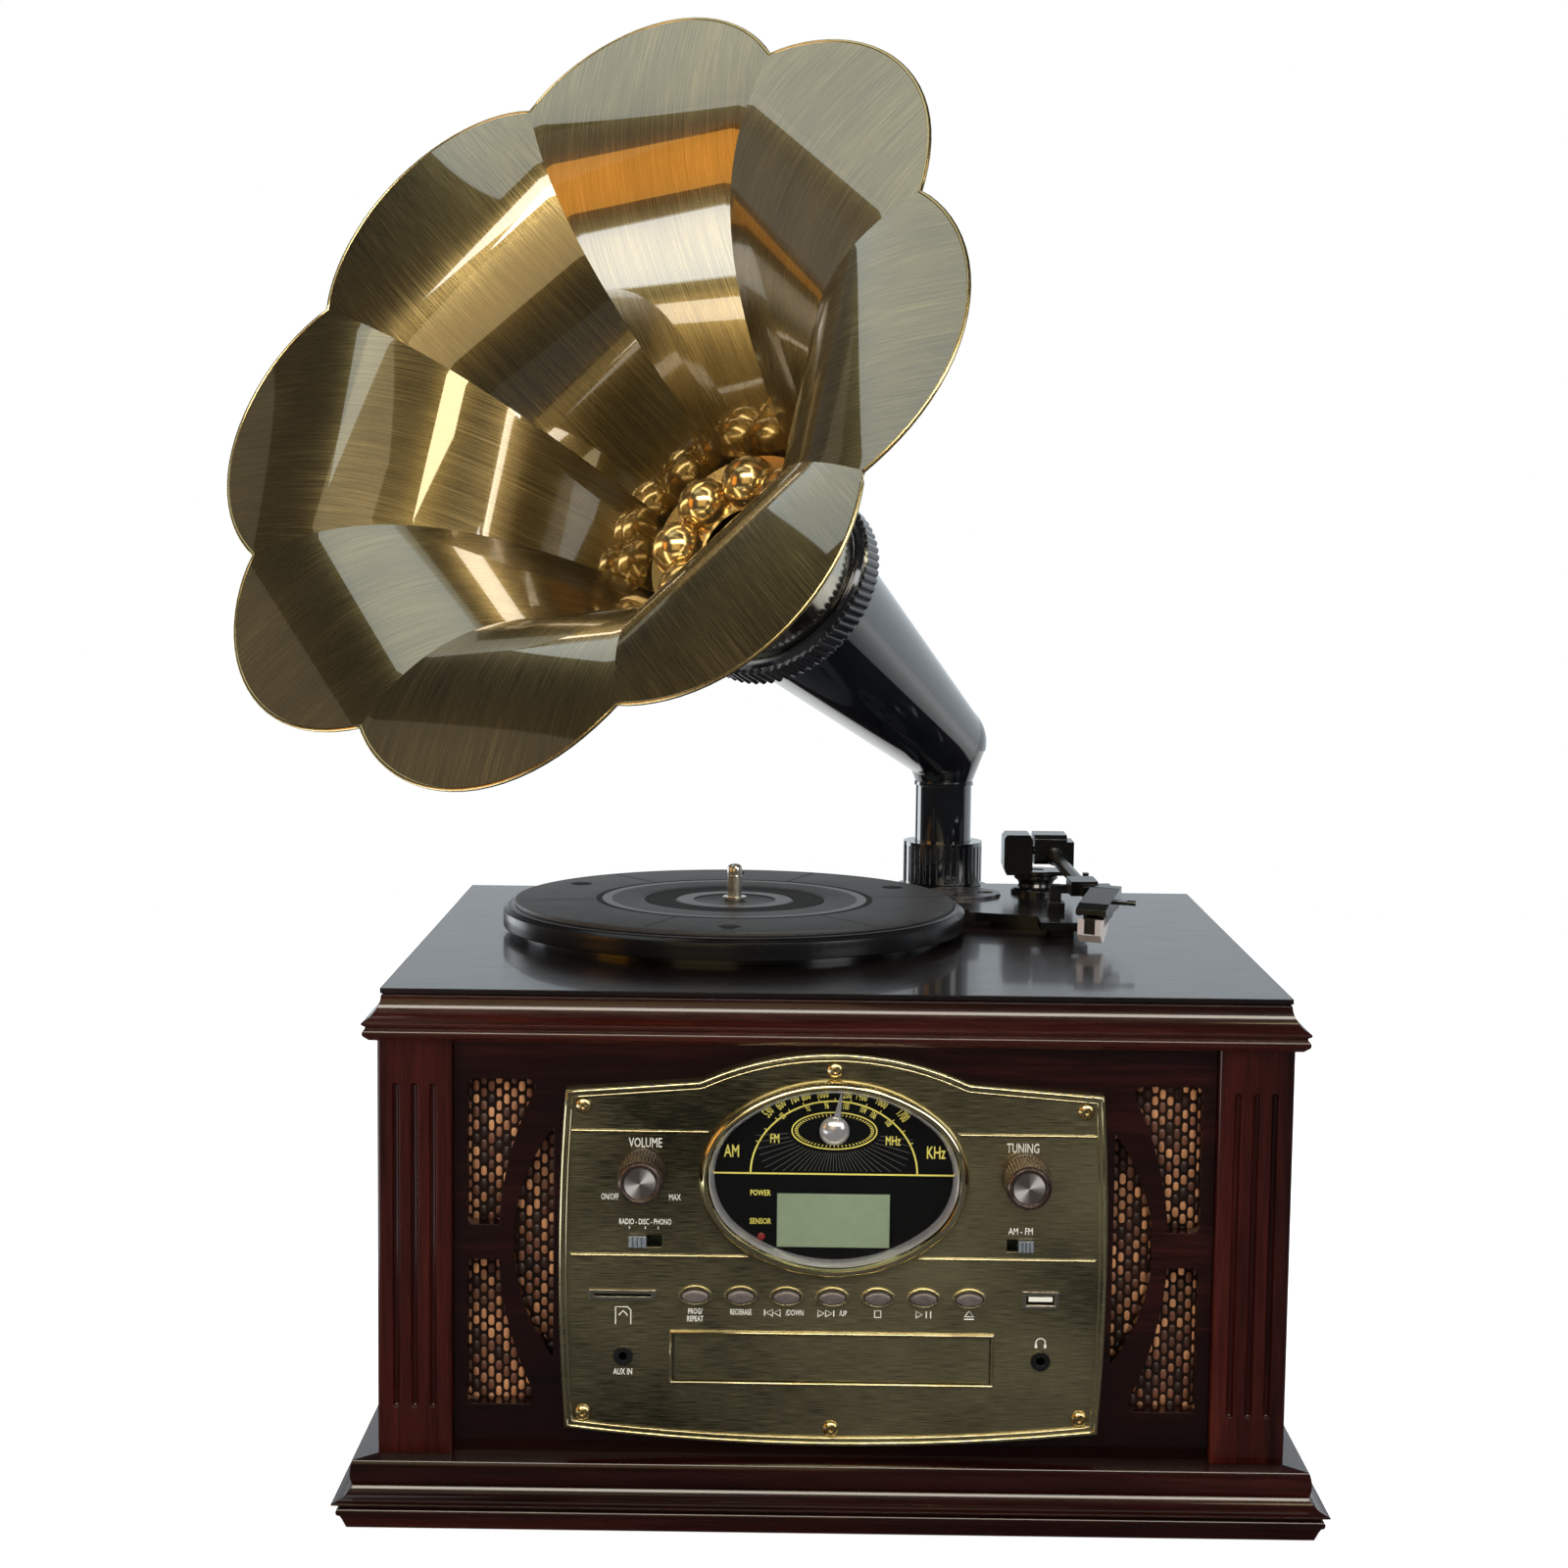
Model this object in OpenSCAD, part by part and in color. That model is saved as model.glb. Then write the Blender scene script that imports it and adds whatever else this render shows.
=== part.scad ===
// Table-top horn gramophone with a radio, a disc player and a turntable.
// The origin is the middle of the plinth's footprint, X runs to the right, Y to the back and Z up.

/* [Cabinet] */
// Width over the corner pilasters
body_w = 380; // [370:1:400]
// Depth from the pilasters' front to the back edge
body_d = 314; // [306:1:330]
// Height of the base moulding
base_h = 28; // [28:1:34]
// Height of the panels between the two mouldings
body_h = 176; // [176:1:190]
// Height of the cornice moulding
cornice_h = 19.3; // [18:0.1:24]
// Thickness of the black top board
top_t = 2.2; // [2:0.1:4]
// Thickness of the side panels
side_t = 12; // [10:1:15]
// Thickness of the front panel
front_t = 9; // [8:1:12]
// Thickness of the back panel
back_t = 6; // [4:1:9]
// Thickness of the bottom board
floor_t = 6; // [5:1:9]
// Width of each corner pilaster
pilaster_w = 31; // [28:1:33]
// How far the front panel lies behind the pilasters
front_set = 5; // [4:1:7]
// Width of one flute in a pilaster
flute_w = 2.8; // [2:0.2:4]
// Depth of one flute
flute_deep = 2; // [1:0.5:3]
// Distance between the flutes' middle lines
flute_pitch = 7.7; // [6:0.1:8.5]
// Length of a flute
flute_len = 138; // [120:1:145]
// How far the black top board lies inside the body's faces
top_set = 1.2; // [1:0.1:2]

/* [Speaker grilles] */
// Height of the outer grille openings
grille_h = 62; // [56:1:64]
// Bar between the upper and the lower grille opening
grille_bar = 15; // [12:1:20]
// Bar between a crescent opening and the outer ones
grille_rib = 6.5; // [5:0.5:8]
// Bar between the faceplate and a crescent opening
plate_bar = 2.6; // [2:0.2:4]
// Bar between an outer opening and its pilaster
edge_bar = 6; // [5:0.5:8]
// Share of the openings' width that the crescent takes
crescent_share = 0.56; // [0.4:0.01:0.6]
// Half of a crescent opening's height
crescent_half = 49.3; // [44:0.1:52]
// Outer radius of a loudspeaker
speaker_r = 34; // [28:1:35]

/* [Faceplate] */
// Height of the faceplate's lower edge above the base moulding
plate_lift = 5.3; // [5:0.1:9]
// Gap between the faceplate's arch and the cornice
plate_head = 3.6; // [3:0.1:8]
// Half of the faceplate's width at its widest
plate_half = 114.4; // [114:0.1:116]
// Thickness of the faceplate
plate_t = 3; // [2.5:0.5:4]
// Width of the raised border
bead_w = 3.2; // [2:0.2:4]
// How far the border stands out
bead_out = 1.2; // [0.6:0.1:2]
// Half of the dial's width inside its bezel
dial_a = 52; // [50:0.5:53]
// Half of the dial's height inside its bezel
dial_b = 37.5; // [36:0.5:38.5]
// Width of the dial bezel's ring
bezel_w = 4.4; // [3:0.2:5]
// How far the bezel stands out
bezel_out = 5.5; // [5:0.5:8]
// Radius of the two large knobs
knob_r = 9.7; // [8:0.1:11]
// How far the knobs stand out
knob_out = 22; // [16:1:26]
// Radius of the knobs' shafts
knob_shaft_r = 3; // [2.5:0.1:3.5]
// Half of a push button's width
button_a = 5.6; // [5:0.1:6]
// Half of a push button's height
button_b = 2.9; // [2.5:0.1:3.3]
// Distance from one push button to the next
button_pitch = 19.1; // [17:0.1:19.5]
// How far a push button travels
button_travel = 1.2; // [0.8:0.1:1.5]
// Width of the disc tray's door
door_w = 132; // [130:0.5:134]
// Height of the disc tray's door
door_h = 19.5; // [18:0.5:21]
// How far the disc tray slides out
tray_travel = 128; // [120:1:130]

/* [Turntable] */
// Spindle's place to the left of the cabinet's middle
spindle_x = -46.5; // [-50:0.5:-44]
// Spindle's place behind the cabinet's middle
spindle_y = 10; // [5:0.5:14]
// Outer radius of the platter
platter_r = 109; // [105:0.5:110]
// Radius of the rubber mat
mat_r = 103.5; // [96:0.5:104]
// Radius of the spindle
spindle_r = 3.5; // [3.4:0.05:3.6]
// Gap between the board and the platter's rim
rim_lift = 3.6; // [3.4:0.1:5]
// Height of the platter's upright rim
rim_h = 8; // [8:0.5:10]
// Thickness of the mat
mat_t = 2; // [1.5:0.1:3]
// How far the spindle stands above the mat
spindle_out = 16.5; // [14:0.5:20]
// Radius of the ring under the platter that the belt runs on
drive_r = 50; // [45:1:54]
// Radius of the motor's pulley
pulley_r = 5; // [4:0.5:6]
// Distance from the spindle to the motor
motor_gap = 70; // [68:0.5:72]
// Height of the deck plate's top above the board
deck_h = 7.6; // [7:0.1:8]
// Thickness of the deck plate
deck_t = 4.1; // [3:0.1:4.5]

/* [Tonearm] */
// Arm pivot to the right of the cabinet's middle
pivot_x = 104; // [102:0.5:105]
// Arm pivot behind the cabinet's middle
pivot_y = 100; // [97:0.5:104]
// Height of the arm's lift axis above the board
pivot_h = 29; // [28:0.5:31]
// Radius of the arm tube
tube_r = 3.2; // [2.5:0.1:3.5]
// Length of the arm tube from the lift axis
tube_len = 88; // [84:1:90]
// Angle that the resting arm hangs down
arm_droop = 4.2; // [3.8:0.1:4.4]
// Angle of the resting arm to the cabinet's side
arm_yaw = 5.5; // [5:0.5:6.5]
// Length of the headshell
shell_len = 42; // [40:1:46]
// Width of the headshell
shell_w = 14; // [13:0.5:16]
// Angle of the headshell to the arm tube
shell_yaw = -22; // [-24:1:-20]

/* [Horn] */
// Centre of the horn's socket to the right of the cabinet's middle
horn_x = 58; // [57:0.5:60]
// Centre of the horn's socket behind the cabinet's middle
horn_y = 128; // [126:0.5:129]
// Height of the elbow's bend above the board
bend_h = 81.3; // [78:0.5:90]
// Angle of the horn's axis above the horizontal
horn_tilt = 29.6; // [26:0.2:34]
// Turn of the horn to the left, seen from above
horn_yaw = 35.4; // [30:0.2:40]
// Radius of the elbow's upright tube
stem_r = 14.3; // [13:0.1:15]
// Radius of the elbow at its wide end
elbow_r = 39.5; // [37:0.5:41]
// Distance from the bend to the elbow's wide end
elbow_len = 160; // [150:1:170]
// Outer radius of the knurled collar
collar_r = 20.2; // [19.8:0.1:21]
// Height of the knurled collar
collar_h = 22.3; // [20:0.1:24]
// Radius of the bell's creases at its small end
throat_r = 46; // [44:0.5:48]
// Radius at the notches between two petals
notch_r = 170; // [160:1:180]
// Radius at the petals' tips
tip_r = 190; // [186:1:200]
// Length of the bell along its axis
bell_len = 149; // [140:1:160]
// How late the bell flares
bell_flare = 3.45; // [3:0.05:3.8]
// Thickness of the bell's sheet
bell_t = 1; // [0.8:0.1:1.5]
// Angle of the first petal round the horn's axis
petal_turn = 7.85; // [0:0.05:45]
// Radius of one dome in the throat
dome_r = 13; // [11:0.5:13.5]

/* [Hidden] */
$fn = 96;
fine = 720;

// Clearances
seat = 0.3;
slip = 0.6;
run = 0.05;
far = 900;

// Levels
body_top = base_h + body_h;
board_z = body_top + cornice_h + top_t;
front_y = -body_d / 2;
panel_y = front_y + front_set;
pilaster_d = front_set + front_t;
plate_y = panel_y - plate_t;
floor_z = base_h + floor_t;
side_in = body_w / 2 - side_t;
pilaster_in = body_w / 2 - pilaster_w;
plate_z = base_h + plate_lift;
cloth_t = 0.8;
cloth_y = panel_y + front_t + cloth_t;

// Faceplate layout
button_rim = 1.4;
plate_h = body_h - plate_lift - plate_head;
plate_top = plate_z + plate_h;
dial_z = plate_top - 10.9 - bezel_w - dial_b;
pointer_z = dial_z + 19.4;
lamp_x = -30;
lamp_z = dial_z - 25.8;
display_z = dial_z - 18.8;
display_w = 47;
display_h = 22.7;
knob_x = 79.5;
knob_z = dial_z + 2;
switch_z = dial_z - 27.7;
button_z = dial_z - dial_b - bezel_w - 4.6 - button_rim - button_b;
tray_z = plate_z + 0.5843 * (button_z - plate_z);
jack_x = 87.4;
jack_z = tray_z + 0.3;
bulge_z = plate_z + 0.4686 * plate_h;
rule_zs = [dial_z - 33.8, dial_z + 19];
screw_places = [
    [-104.4, plate_top - 23.2], [0, plate_top - 7.1], [104.4, plate_top - 23.2],
    [-104.2, plate_z + 12.7], [0, plate_z + 7.1], [104.2, plate_z + 12.7]
];
corner_drop = 17.3;
side_arc_r = 961;
foot_arc_r = 972;
arch_r = 131.8;
shoulder_x = 56;
shoulder_drop = 12.4;
slider_w = 7.2;
slider_h = 4.6;
slider_travel = 6.3;
function_x = -85.1;
band_w = 6.2;
band_travel = 4.5;
band_x = 83.5;
card_x = -87.6;
card_w = 28.3;
card_h = 4.4;
usb_x = 87;
usb_w = 13.1;
usb_h = 5.7;
jack_r = 4.1;
jack_bore_r = 1.8;
jack_len = 14;
button_count = 7;
screw_r = 3.5;

// Speaker grilles
grille_z = base_h + body_h / 2 + 1.8;
grille_reach = grille_bar / 2 + grille_h;
open_w = pilaster_in - plate_half - plate_bar - grille_rib - edge_bar;
crescent_w = crescent_share * open_w;
crescent_r = (crescent_half * crescent_half + crescent_w * crescent_w) / (2 * crescent_w);
outer_w = open_w - crescent_w;
grille_flare = 0.51 * open_w;
grille_w = outer_w + grille_flare;
sweep_in = 1.16 * grille_flare;
sweep_r = (grille_reach * grille_reach + sweep_in * sweep_in) / (2 * sweep_in);
cloth_over = 5.8;

// Inside the front
works_half = 101;
works_low = tray_z - door_h / 2 - 7.35;
works_high = plate_top - 27.1;
pcb_y = cloth_y + 4;
pcb_t = 1.6;
pcb_half = 96;

// Disc tray and loader
tray_w = door_w - 4;
tray_t = 7;
tray_len = 134;
disc_r = 61;
door_t = 4;
loader_wall = 2.5;
loader_len = 146;

// Turntable levels, above the board
base_disc_t = 2.3;
base_disc_r = 100;
board_hole_r = 93;
hub_z = 7;
rim_top = rim_lift + rim_h;
seat_z = rim_top + 2;
mat_z = seat_z + mat_t;
deck_gap = 1.5;
deck_edge_r = platter_r + deck_gap;
motor_r = 16;
motor_h = 21;
motor_turn = 120;
motor_x = spindle_x + motor_gap * cos(motor_turn);
motor_y = spindle_y + motor_gap * sin(motor_turn);
adaptor_r = 19;
adaptor_x = 66;
adaptor_y = 88;
deck_z = board_z + deck_h;

// Tonearm
pivot_z = board_z + pivot_h;
yoke_r = 11;
yoke_z = deck_z + 9.7;
yoke_t = 2;
block_x = 6.3;
block_w = 16.5;
block_l = 11;
pin_r = 2;
tube_root = 1;
shell_side = 10;
shell_gap = 8;
rest_gap = 60;
shell_back = -1.2;

// Horn
bend_z = board_z + bend_h;
spigot_r = 13;
socket_r = 16.5;
socket_h = 15.4;
elbow_wall = 2.5;
ring_s = elbow_len + 8;
ring_r = 50;
nut_half = 8;
nut_bore_r = ring_r - 5.4;
rib_count = 72;
neck_end = elbow_len + 39;
bell_s0 = elbow_len + 35;
bell_end = bell_s0 + bell_len;
panel_half = 22.5;
edge_r = tip_r / cos(panel_half);
petal_c = (tip_r * tip_r - notch_r * notch_r) / (2 * (tip_r - notch_r * cos(panel_half)));
petal_r = tip_r - petal_c;
bell_steps = 16;
dome_s = bell_s0 + 14;
dome_ring_r = 31.5;

// Helpers

// Points of an arc round c from angle a0 to a1
function arc(c, r, a0, a1, n = 6) =
    [for (i = [0:n]) c + r * [cos(a0 + (a1 - a0) * i / n), sin(a0 + (a1 - a0) * i / n)]];

// Upright plate: the outline is in X and Z, its back face is at y_back
module upright(y_back, t) {
    translate([0, y_back, 0])
        rotate([90, 0, 0])
            linear_extrude(t)
                children();
}

// Children and their mirror image
module pair() {
    children();
    mirror([1, 0, 0]) children();
}

// Round rod along Y from y_front back to y_back
module rod_y(x, z, r, y_front, y_back) {
    translate([x, y_back, z])
        rotate([90, 0, 0])
            cylinder(r = r, h = y_back - y_front);
}

// Box between two corners
module block(low, high) {
    translate(low) cube(high - low);
}

// Rectangle with round corners, centred
module soft_rect(w, h, r) {
    square([w - 2 * r, h], center = true);
    square([w, h - 2 * r], center = true);
    for (x = [-1, 1], y = [-1, 1])
        translate([x * (w / 2 - r), y * (h / 2 - r)]) circle(r);
}

// The same points without the first, to follow on from another arc
function arc_on(c, r, a0, a1, n) =
    [for (i = [1:n]) c + r * [cos(a0 + (a1 - a0) * i / n), sin(a0 + (a1 - a0) * i / n)]];

// Oval of four tangent arcs with half width a and half height b
module oval(a, b, n = 16) {
    end_r = 1.09 * b * b / a;
    c = a - end_r;
    rise = b - end_r;
    d = (c * c - rise * rise) / (2 * rise);
    flat_r = b + d;
    meet = atan2(d, c);
    polygon(concat(
        arc_on([c, 0], end_r, -meet, meet, n),
        arc_on([0, -d], flat_r, meet, 180 - meet, n),
        arc_on([-c, 0], end_r, 180 - meet, 180 + meet, n),
        arc_on([0, d], flat_r, 180 + meet, 360 - meet, n)
    ));
}

// Mirrored outline of a moulding: points are how far out and how high
module moulding_outline(half, points) {
    n = len(points);
    polygon(concat(
        [for (p = points) [half + p[0], p[1]]],
        [for (i = [n - 1:-1:0]) [-half - points[i][0], points[i][1]]]
    ));
}

// Moulding mitred round a rectangle
module moulding(points) {
    intersection() {
        rotate([90, 0, 0])
            linear_extrude(2 * body_d, center = true)
                moulding_outline(body_w / 2, points);
        rotate([90, 0, 90])
            linear_extrude(2 * body_w, center = true)
                moulding_outline(body_d / 2, points);
    }
}

// Cabinet

base_points = concat(
    [[11.5, 0], [13.4, 4.4]],
    arc([13.5, 7.5], 1.9, -75, 75, 4),
    [[14.5, 10.3], [17.3, 11.2]],
    arc([18, 21.8], 10, 266, 206),
    arc([-4.7, 22.5], 15, -18, 16, 5),
    [[9.6, base_h]]
);

module plinth() {
    inset = 24;
    color("#4a1712")
    difference() {
        moulding(base_points);
        block([-body_w / 2 + inset, -body_d / 2 + inset, -1],
              [body_w / 2 - inset, body_d / 2 - inset, base_h + 1]);
    }
}

module bottom_board() {
    color("#8a6a45")
        block([-side_in + seat, panel_y + front_t + seat, base_h],
              [side_in - seat, body_d / 2 - 1 - back_t - seat, floor_z]);
}

module side_panel() {
    block([side_in, front_y + pilaster_d, base_h], [body_w / 2, body_d / 2, body_top]);
}

module side_panel_right() {
    color("#4a1712") side_panel();
}

module side_panel_left() {
    color("#4a1712") mirror([1, 0, 0]) side_panel();
}

module pilaster() {
    middle = (pilaster_in + body_w / 2) / 2;
    middle_z = base_h + body_h / 2 + 0.9;
    difference() {
        block([pilaster_in, front_y, base_h], [body_w / 2, front_y + pilaster_d, body_top]);
        for (i = [-1:1])
            upright(front_y + flute_deep, flute_deep + 1)
                translate([middle + i * flute_pitch, middle_z])
                    soft_rect(flute_w, flute_len, flute_w / 2 - 0.01);
    }
}

module pilaster_right() {
    color("#5a1d14") pilaster();
}

module pilaster_left() {
    color("#5a1d14") mirror([1, 0, 0]) pilaster();
}

// Openings of the right grille: two swept outer ones and a crescent
module grille_outline() {
    outer_x = pilaster_in - edge_bar;
    inner_x = plate_half + plate_bar;
    for (side = [-1, 1])
        difference() {
            translate([outer_x - grille_w / 2, grille_z + side * (grille_bar + grille_h) / 2])
                soft_rect(grille_w, grille_h, 3);
            translate([outer_x - outer_w - sweep_r, grille_z]) circle(sweep_r, $fn = 2 * fine);
        }
    intersection() {
        translate([inner_x + crescent_w - crescent_r, grille_z]) circle(crescent_r, $fn = fine);
        translate([inner_x, grille_z - crescent_r]) square([crescent_r, 2 * crescent_r]);
    }
}

module front_panel() {
    color("#4a1712")
    difference() {
        block([-pilaster_in + seat, panel_y, base_h], [pilaster_in - seat, panel_y + front_t, body_top]);
        upright(panel_y + front_t + 1, front_t + 2) {
            pair() grille_outline();
            translate([0, (works_low + works_high) / 2])
                soft_rect(2 * works_half, works_high - works_low, 6);
            translate([0, dial_z]) oval(dial_a + 4, dial_b + 4);
        }
    }
}

module back_panel() {
    vent_count = 9;
    back_y = body_d / 2 - 1;
    color("#33261c")
    difference() {
        block([-side_in + seat, back_y - back_t, base_h], [side_in - seat, back_y, body_top]);
        upright(back_y + 1, back_t + 2) {
            for (i = [0:vent_count - 1])
                translate([-60 + 15 * i, base_h + 120]) soft_rect(4, 60, 1.9);
            for (x = [54, 82]) translate([x - side_in, base_h + 45]) circle(5.2);
            translate([side_in - 58, base_h + 45]) circle(7.2);
        }
    }
}

cornice_points = concat(
    [[0, 0], [3, 0.4]],
    arc([3.4, 3.4], 2, -65, 65, 4),
    [[4.2, 6.3], [5.4, 6.8], [5.7, 7.8]],
    arc([10.6, 19.2], 12.2, 244, 190),
    [[-1.5, cornice_h]]
);

module cornice() {
    inset = 22;
    color("#4a1712")
    difference() {
        translate([0, 0, body_top]) moulding(cornice_points);
        block([-body_w / 2 + inset, -body_d / 2 + inset, body_top - 1],
              [body_w / 2 - inset, body_d / 2 - inset, body_top + cornice_h + 1]);
    }
}

module top_board() {
    color("#17171a")
    difference() {
        block([-body_w / 2 + top_set, -body_d / 2 + top_set, body_top + cornice_h],
              [body_w / 2 - top_set, body_d / 2 - top_set, board_z]);
        translate([spindle_x, spindle_y, board_z - top_t - 1])
            cylinder(r = board_hole_r, h = top_t + 2);
        translate([horn_x, horn_y, board_z - top_t - 1])
            cylinder(r = spigot_r + 2, h = top_t + 2);
    }
}

module grille_cloths() {
    color("#8a5a34")
    pair()
        block([plate_half - 1, cloth_y - cloth_t, grille_z - grille_reach - cloth_over],
              [pilaster_in - seat, cloth_y, grille_z + grille_reach + cloth_over]);
}

module loudspeaker() {
    middle_x = (pcb_half + 5 + side_in) / 2 - 2;
    flange_t = 3;
    translate([middle_x, cloth_y, grille_z])
        rotate([-90, 0, 0])
            rotate_extrude()
                polygon([
                    [0, flange_t + 4], [12, flange_t + 3], [speaker_r - 5, 0], [speaker_r, 0],
                    [speaker_r, flange_t], [speaker_r - 4, flange_t], [20, 19], [22, 20],
                    [22, 33], [0, 33]
                ]);
}

module loudspeakers() {
    color("#222222") pair() loudspeaker();
}

// Faceplate

// Outline of the faceplate, drawn in by inset
module plate_outline(inset) {
    intersection() {
        for_side_arcs(inset);
        translate([0, plate_z + foot_arc_r]) circle(foot_arc_r - inset, $fn = 4 * fine);
        polygon([
            [-plate_half - 5, plate_z - 5], [plate_half + 5, plate_z - 5],
            [plate_half + 5, plate_top - corner_drop - inset],
            [shoulder_x, plate_top - shoulder_drop - inset],
            [-shoulder_x, plate_top - shoulder_drop - inset],
            [-plate_half - 5, plate_top - corner_drop - inset]
        ]);
    }
    intersection() {
        translate([0, plate_top - arch_r]) circle(arch_r - inset, $fn = fine);
        translate([-shoulder_x, dial_z]) square([2 * shoulder_x, arch_r]);
    }
}

// Lens between the two bowed sides
module for_side_arcs(inset) {
    intersection() {
        translate([plate_half - side_arc_r, bulge_z]) circle(side_arc_r - inset, $fn = 4 * fine);
        translate([side_arc_r - plate_half, bulge_z]) circle(side_arc_r - inset, $fn = 4 * fine);
    }
}

// Places of the push buttons
module at_buttons() {
    for (i = [0:button_count - 1])
        translate([(i - (button_count - 1) / 2) * button_pitch, button_z]) children();
}

// Everything that passes through the faceplate
module plate_holes() {
    translate([0, dial_z]) oval(dial_a, dial_b);
    pair() translate([knob_x, knob_z]) circle(knob_shaft_r + slip);
    translate([function_x + (slider_w + slider_travel) / 2, switch_z])
        square([slider_w + slider_travel + slip, slider_h + slip], center = true);
    translate([band_x - (band_w + band_travel) / 2, switch_z])
        square([band_w + band_travel + slip, slider_h + slip], center = true);
    at_buttons() oval(button_a + seat, button_b + seat, 8);
    translate([card_x, button_z]) square([card_w - 3, card_h - 2], center = true);
    translate([usb_x, button_z]) square([usb_w, usb_h], center = true);
    pair() translate([jack_x, jack_z]) circle(jack_r - 1);
    translate([0, tray_z]) square([door_w + 2 * slip, door_h + 2 * slip], center = true);
}

module faceplate() {
    color("#6f6135")
    difference() {
        union() {
            upright(panel_y, plate_t) plate_outline(0);
            upright(plate_y, bead_out)
                difference() {
                    plate_outline(0);
                    plate_outline(bead_w);
                }
            upright(plate_y, 0.6)
                intersection() {
                    for (z = rule_zs) translate([-plate_half, z - 0.5]) square([2 * plate_half, 1]);
                    plate_outline(4.5);
                    difference() {
                        square([far, far], center = true);
                        translate([0, dial_z]) oval(dial_a + bezel_w + 1, dial_b + bezel_w + 1);
                    }
                }
            upright(plate_y, 1.1) {
                at_buttons() oval(button_a + button_rim, button_b + button_rim, 8);
                translate([0, tray_z]) square([door_w + 3.8, door_h + 3], center = true);
            }
        }
        upright(panel_y + 1, plate_t + 4) plate_holes();
    }
}

module faceplate_screws() {
    head_h = 2;
    dome = (screw_r * screw_r + head_h * head_h) / (2 * head_h);
    color("#c9a94f")
    for (p = screw_places)
        translate([p[0], plate_y, p[1]])
            rotate([90, 0, 0])
                difference() {
                    intersection() {
                        translate([0, 0, head_h - dome]) sphere(dome);
                        cylinder(r = screw_r, h = head_h);
                    }
                    translate([0, 0, head_h - 0.7]) cylinder(r = 1, h = 1);
                }
}

module dial_bezel() {
    color("#b08d45")
    union() {
        upright(plate_y, bezel_out - 2)
            difference() {
                translate([0, dial_z]) oval(dial_a + bezel_w, dial_b + bezel_w);
                translate([0, dial_z]) oval(dial_a, dial_b);
            }
        upright(plate_y - bezel_out + 2, 2)
            difference() {
                translate([0, dial_z]) oval(dial_a + bezel_w - 1.2, dial_b + bezel_w - 1.2);
                translate([0, dial_z]) oval(dial_a + 0.8, dial_b + 0.8);
            }
    }
}

module dial_plate() {
    plate_back = panel_y + 1.5;
    color("#101012")
    difference() {
        upright(plate_back, 1.5) translate([0, dial_z]) oval(dial_a + 3, dial_b + 2.5);
        upright(plate_back + 1, 4) {
            translate([0, display_z]) square([display_w + slip, display_h + slip], center = true);
            translate([lamp_x, lamp_z]) circle(1.8);
        }
        rod_y(0, pointer_z, 1.5 + run, panel_y - 2, plate_back + 1);
    }
}

module dial_glass() {
    color("#d8e0e0", 0.3)
        upright(plate_y - bezel_out + 3.2, 1.2)
            translate([0, dial_z]) oval(dial_a - seat, dial_b - seat);
}

module display() {
    color("#7d8a78")
        block([-display_w / 2, panel_y - 0.4, display_z - display_h / 2],
              [display_w / 2, pcb_y - seat, display_z + display_h / 2]);
}

module card_slot() {
    color("#8d8468")
    difference() {
        union() {
            upright(plate_y, 0.9) translate([card_x, button_z]) square([card_w, card_h], center = true);
            upright(pcb_y, pcb_y - plate_y)
                translate([card_x, button_z]) square([card_w - 3.6, card_h - 2.6], center = true);
        }
        upright(pcb_y - 2, pcb_y - plate_y + 4)
            translate([card_x, button_z]) square([card_w - 4.4, 1.1], center = true);
    }
}

module usb_socket() {
    wall = 0.4;
    color("#c8c8c8")
    difference() {
        union() {
            upright(pcb_y, pcb_y - plate_y + 0.2)
                translate([usb_x, button_z]) square([usb_w - slip, usb_h - slip], center = true);
            upright(plate_y, 0.8)
                difference() {
                    translate([usb_x, button_z]) square([usb_w + 2.2, usb_h + 1.7], center = true);
                    translate([usb_x, button_z]) square([usb_w - 1, usb_h - 1], center = true);
                }
        }
        upright(pcb_y - 3, pcb_y - plate_y)
            translate([usb_x, button_z])
                square([usb_w - slip - 2 * wall, usb_h - slip - 2 * wall], center = true);
    }
    color("#e8e8e8")
        upright(pcb_y - 3 + run, pcb_y - plate_y - 8.2)
            translate([usb_x, button_z + 1]) square([usb_w - 3, 1.6], center = true);
}

module jack_sockets() {
    color("#1a1a1a")
    for (x = [-jack_x, jack_x])
        difference() {
            union() {
                rod_y(x, jack_z, jack_r, plate_y - 1.2, plate_y);
                rod_y(x, jack_z, jack_r - 1 - run, plate_y, panel_y);
                translate([x - 5, panel_y, jack_z - 5]) cube([10, jack_len - plate_t, 10]);
            }
            rod_y(x, jack_z, jack_bore_r, plate_y - 2, plate_y - 1.2 + jack_len);
        }
}

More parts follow.
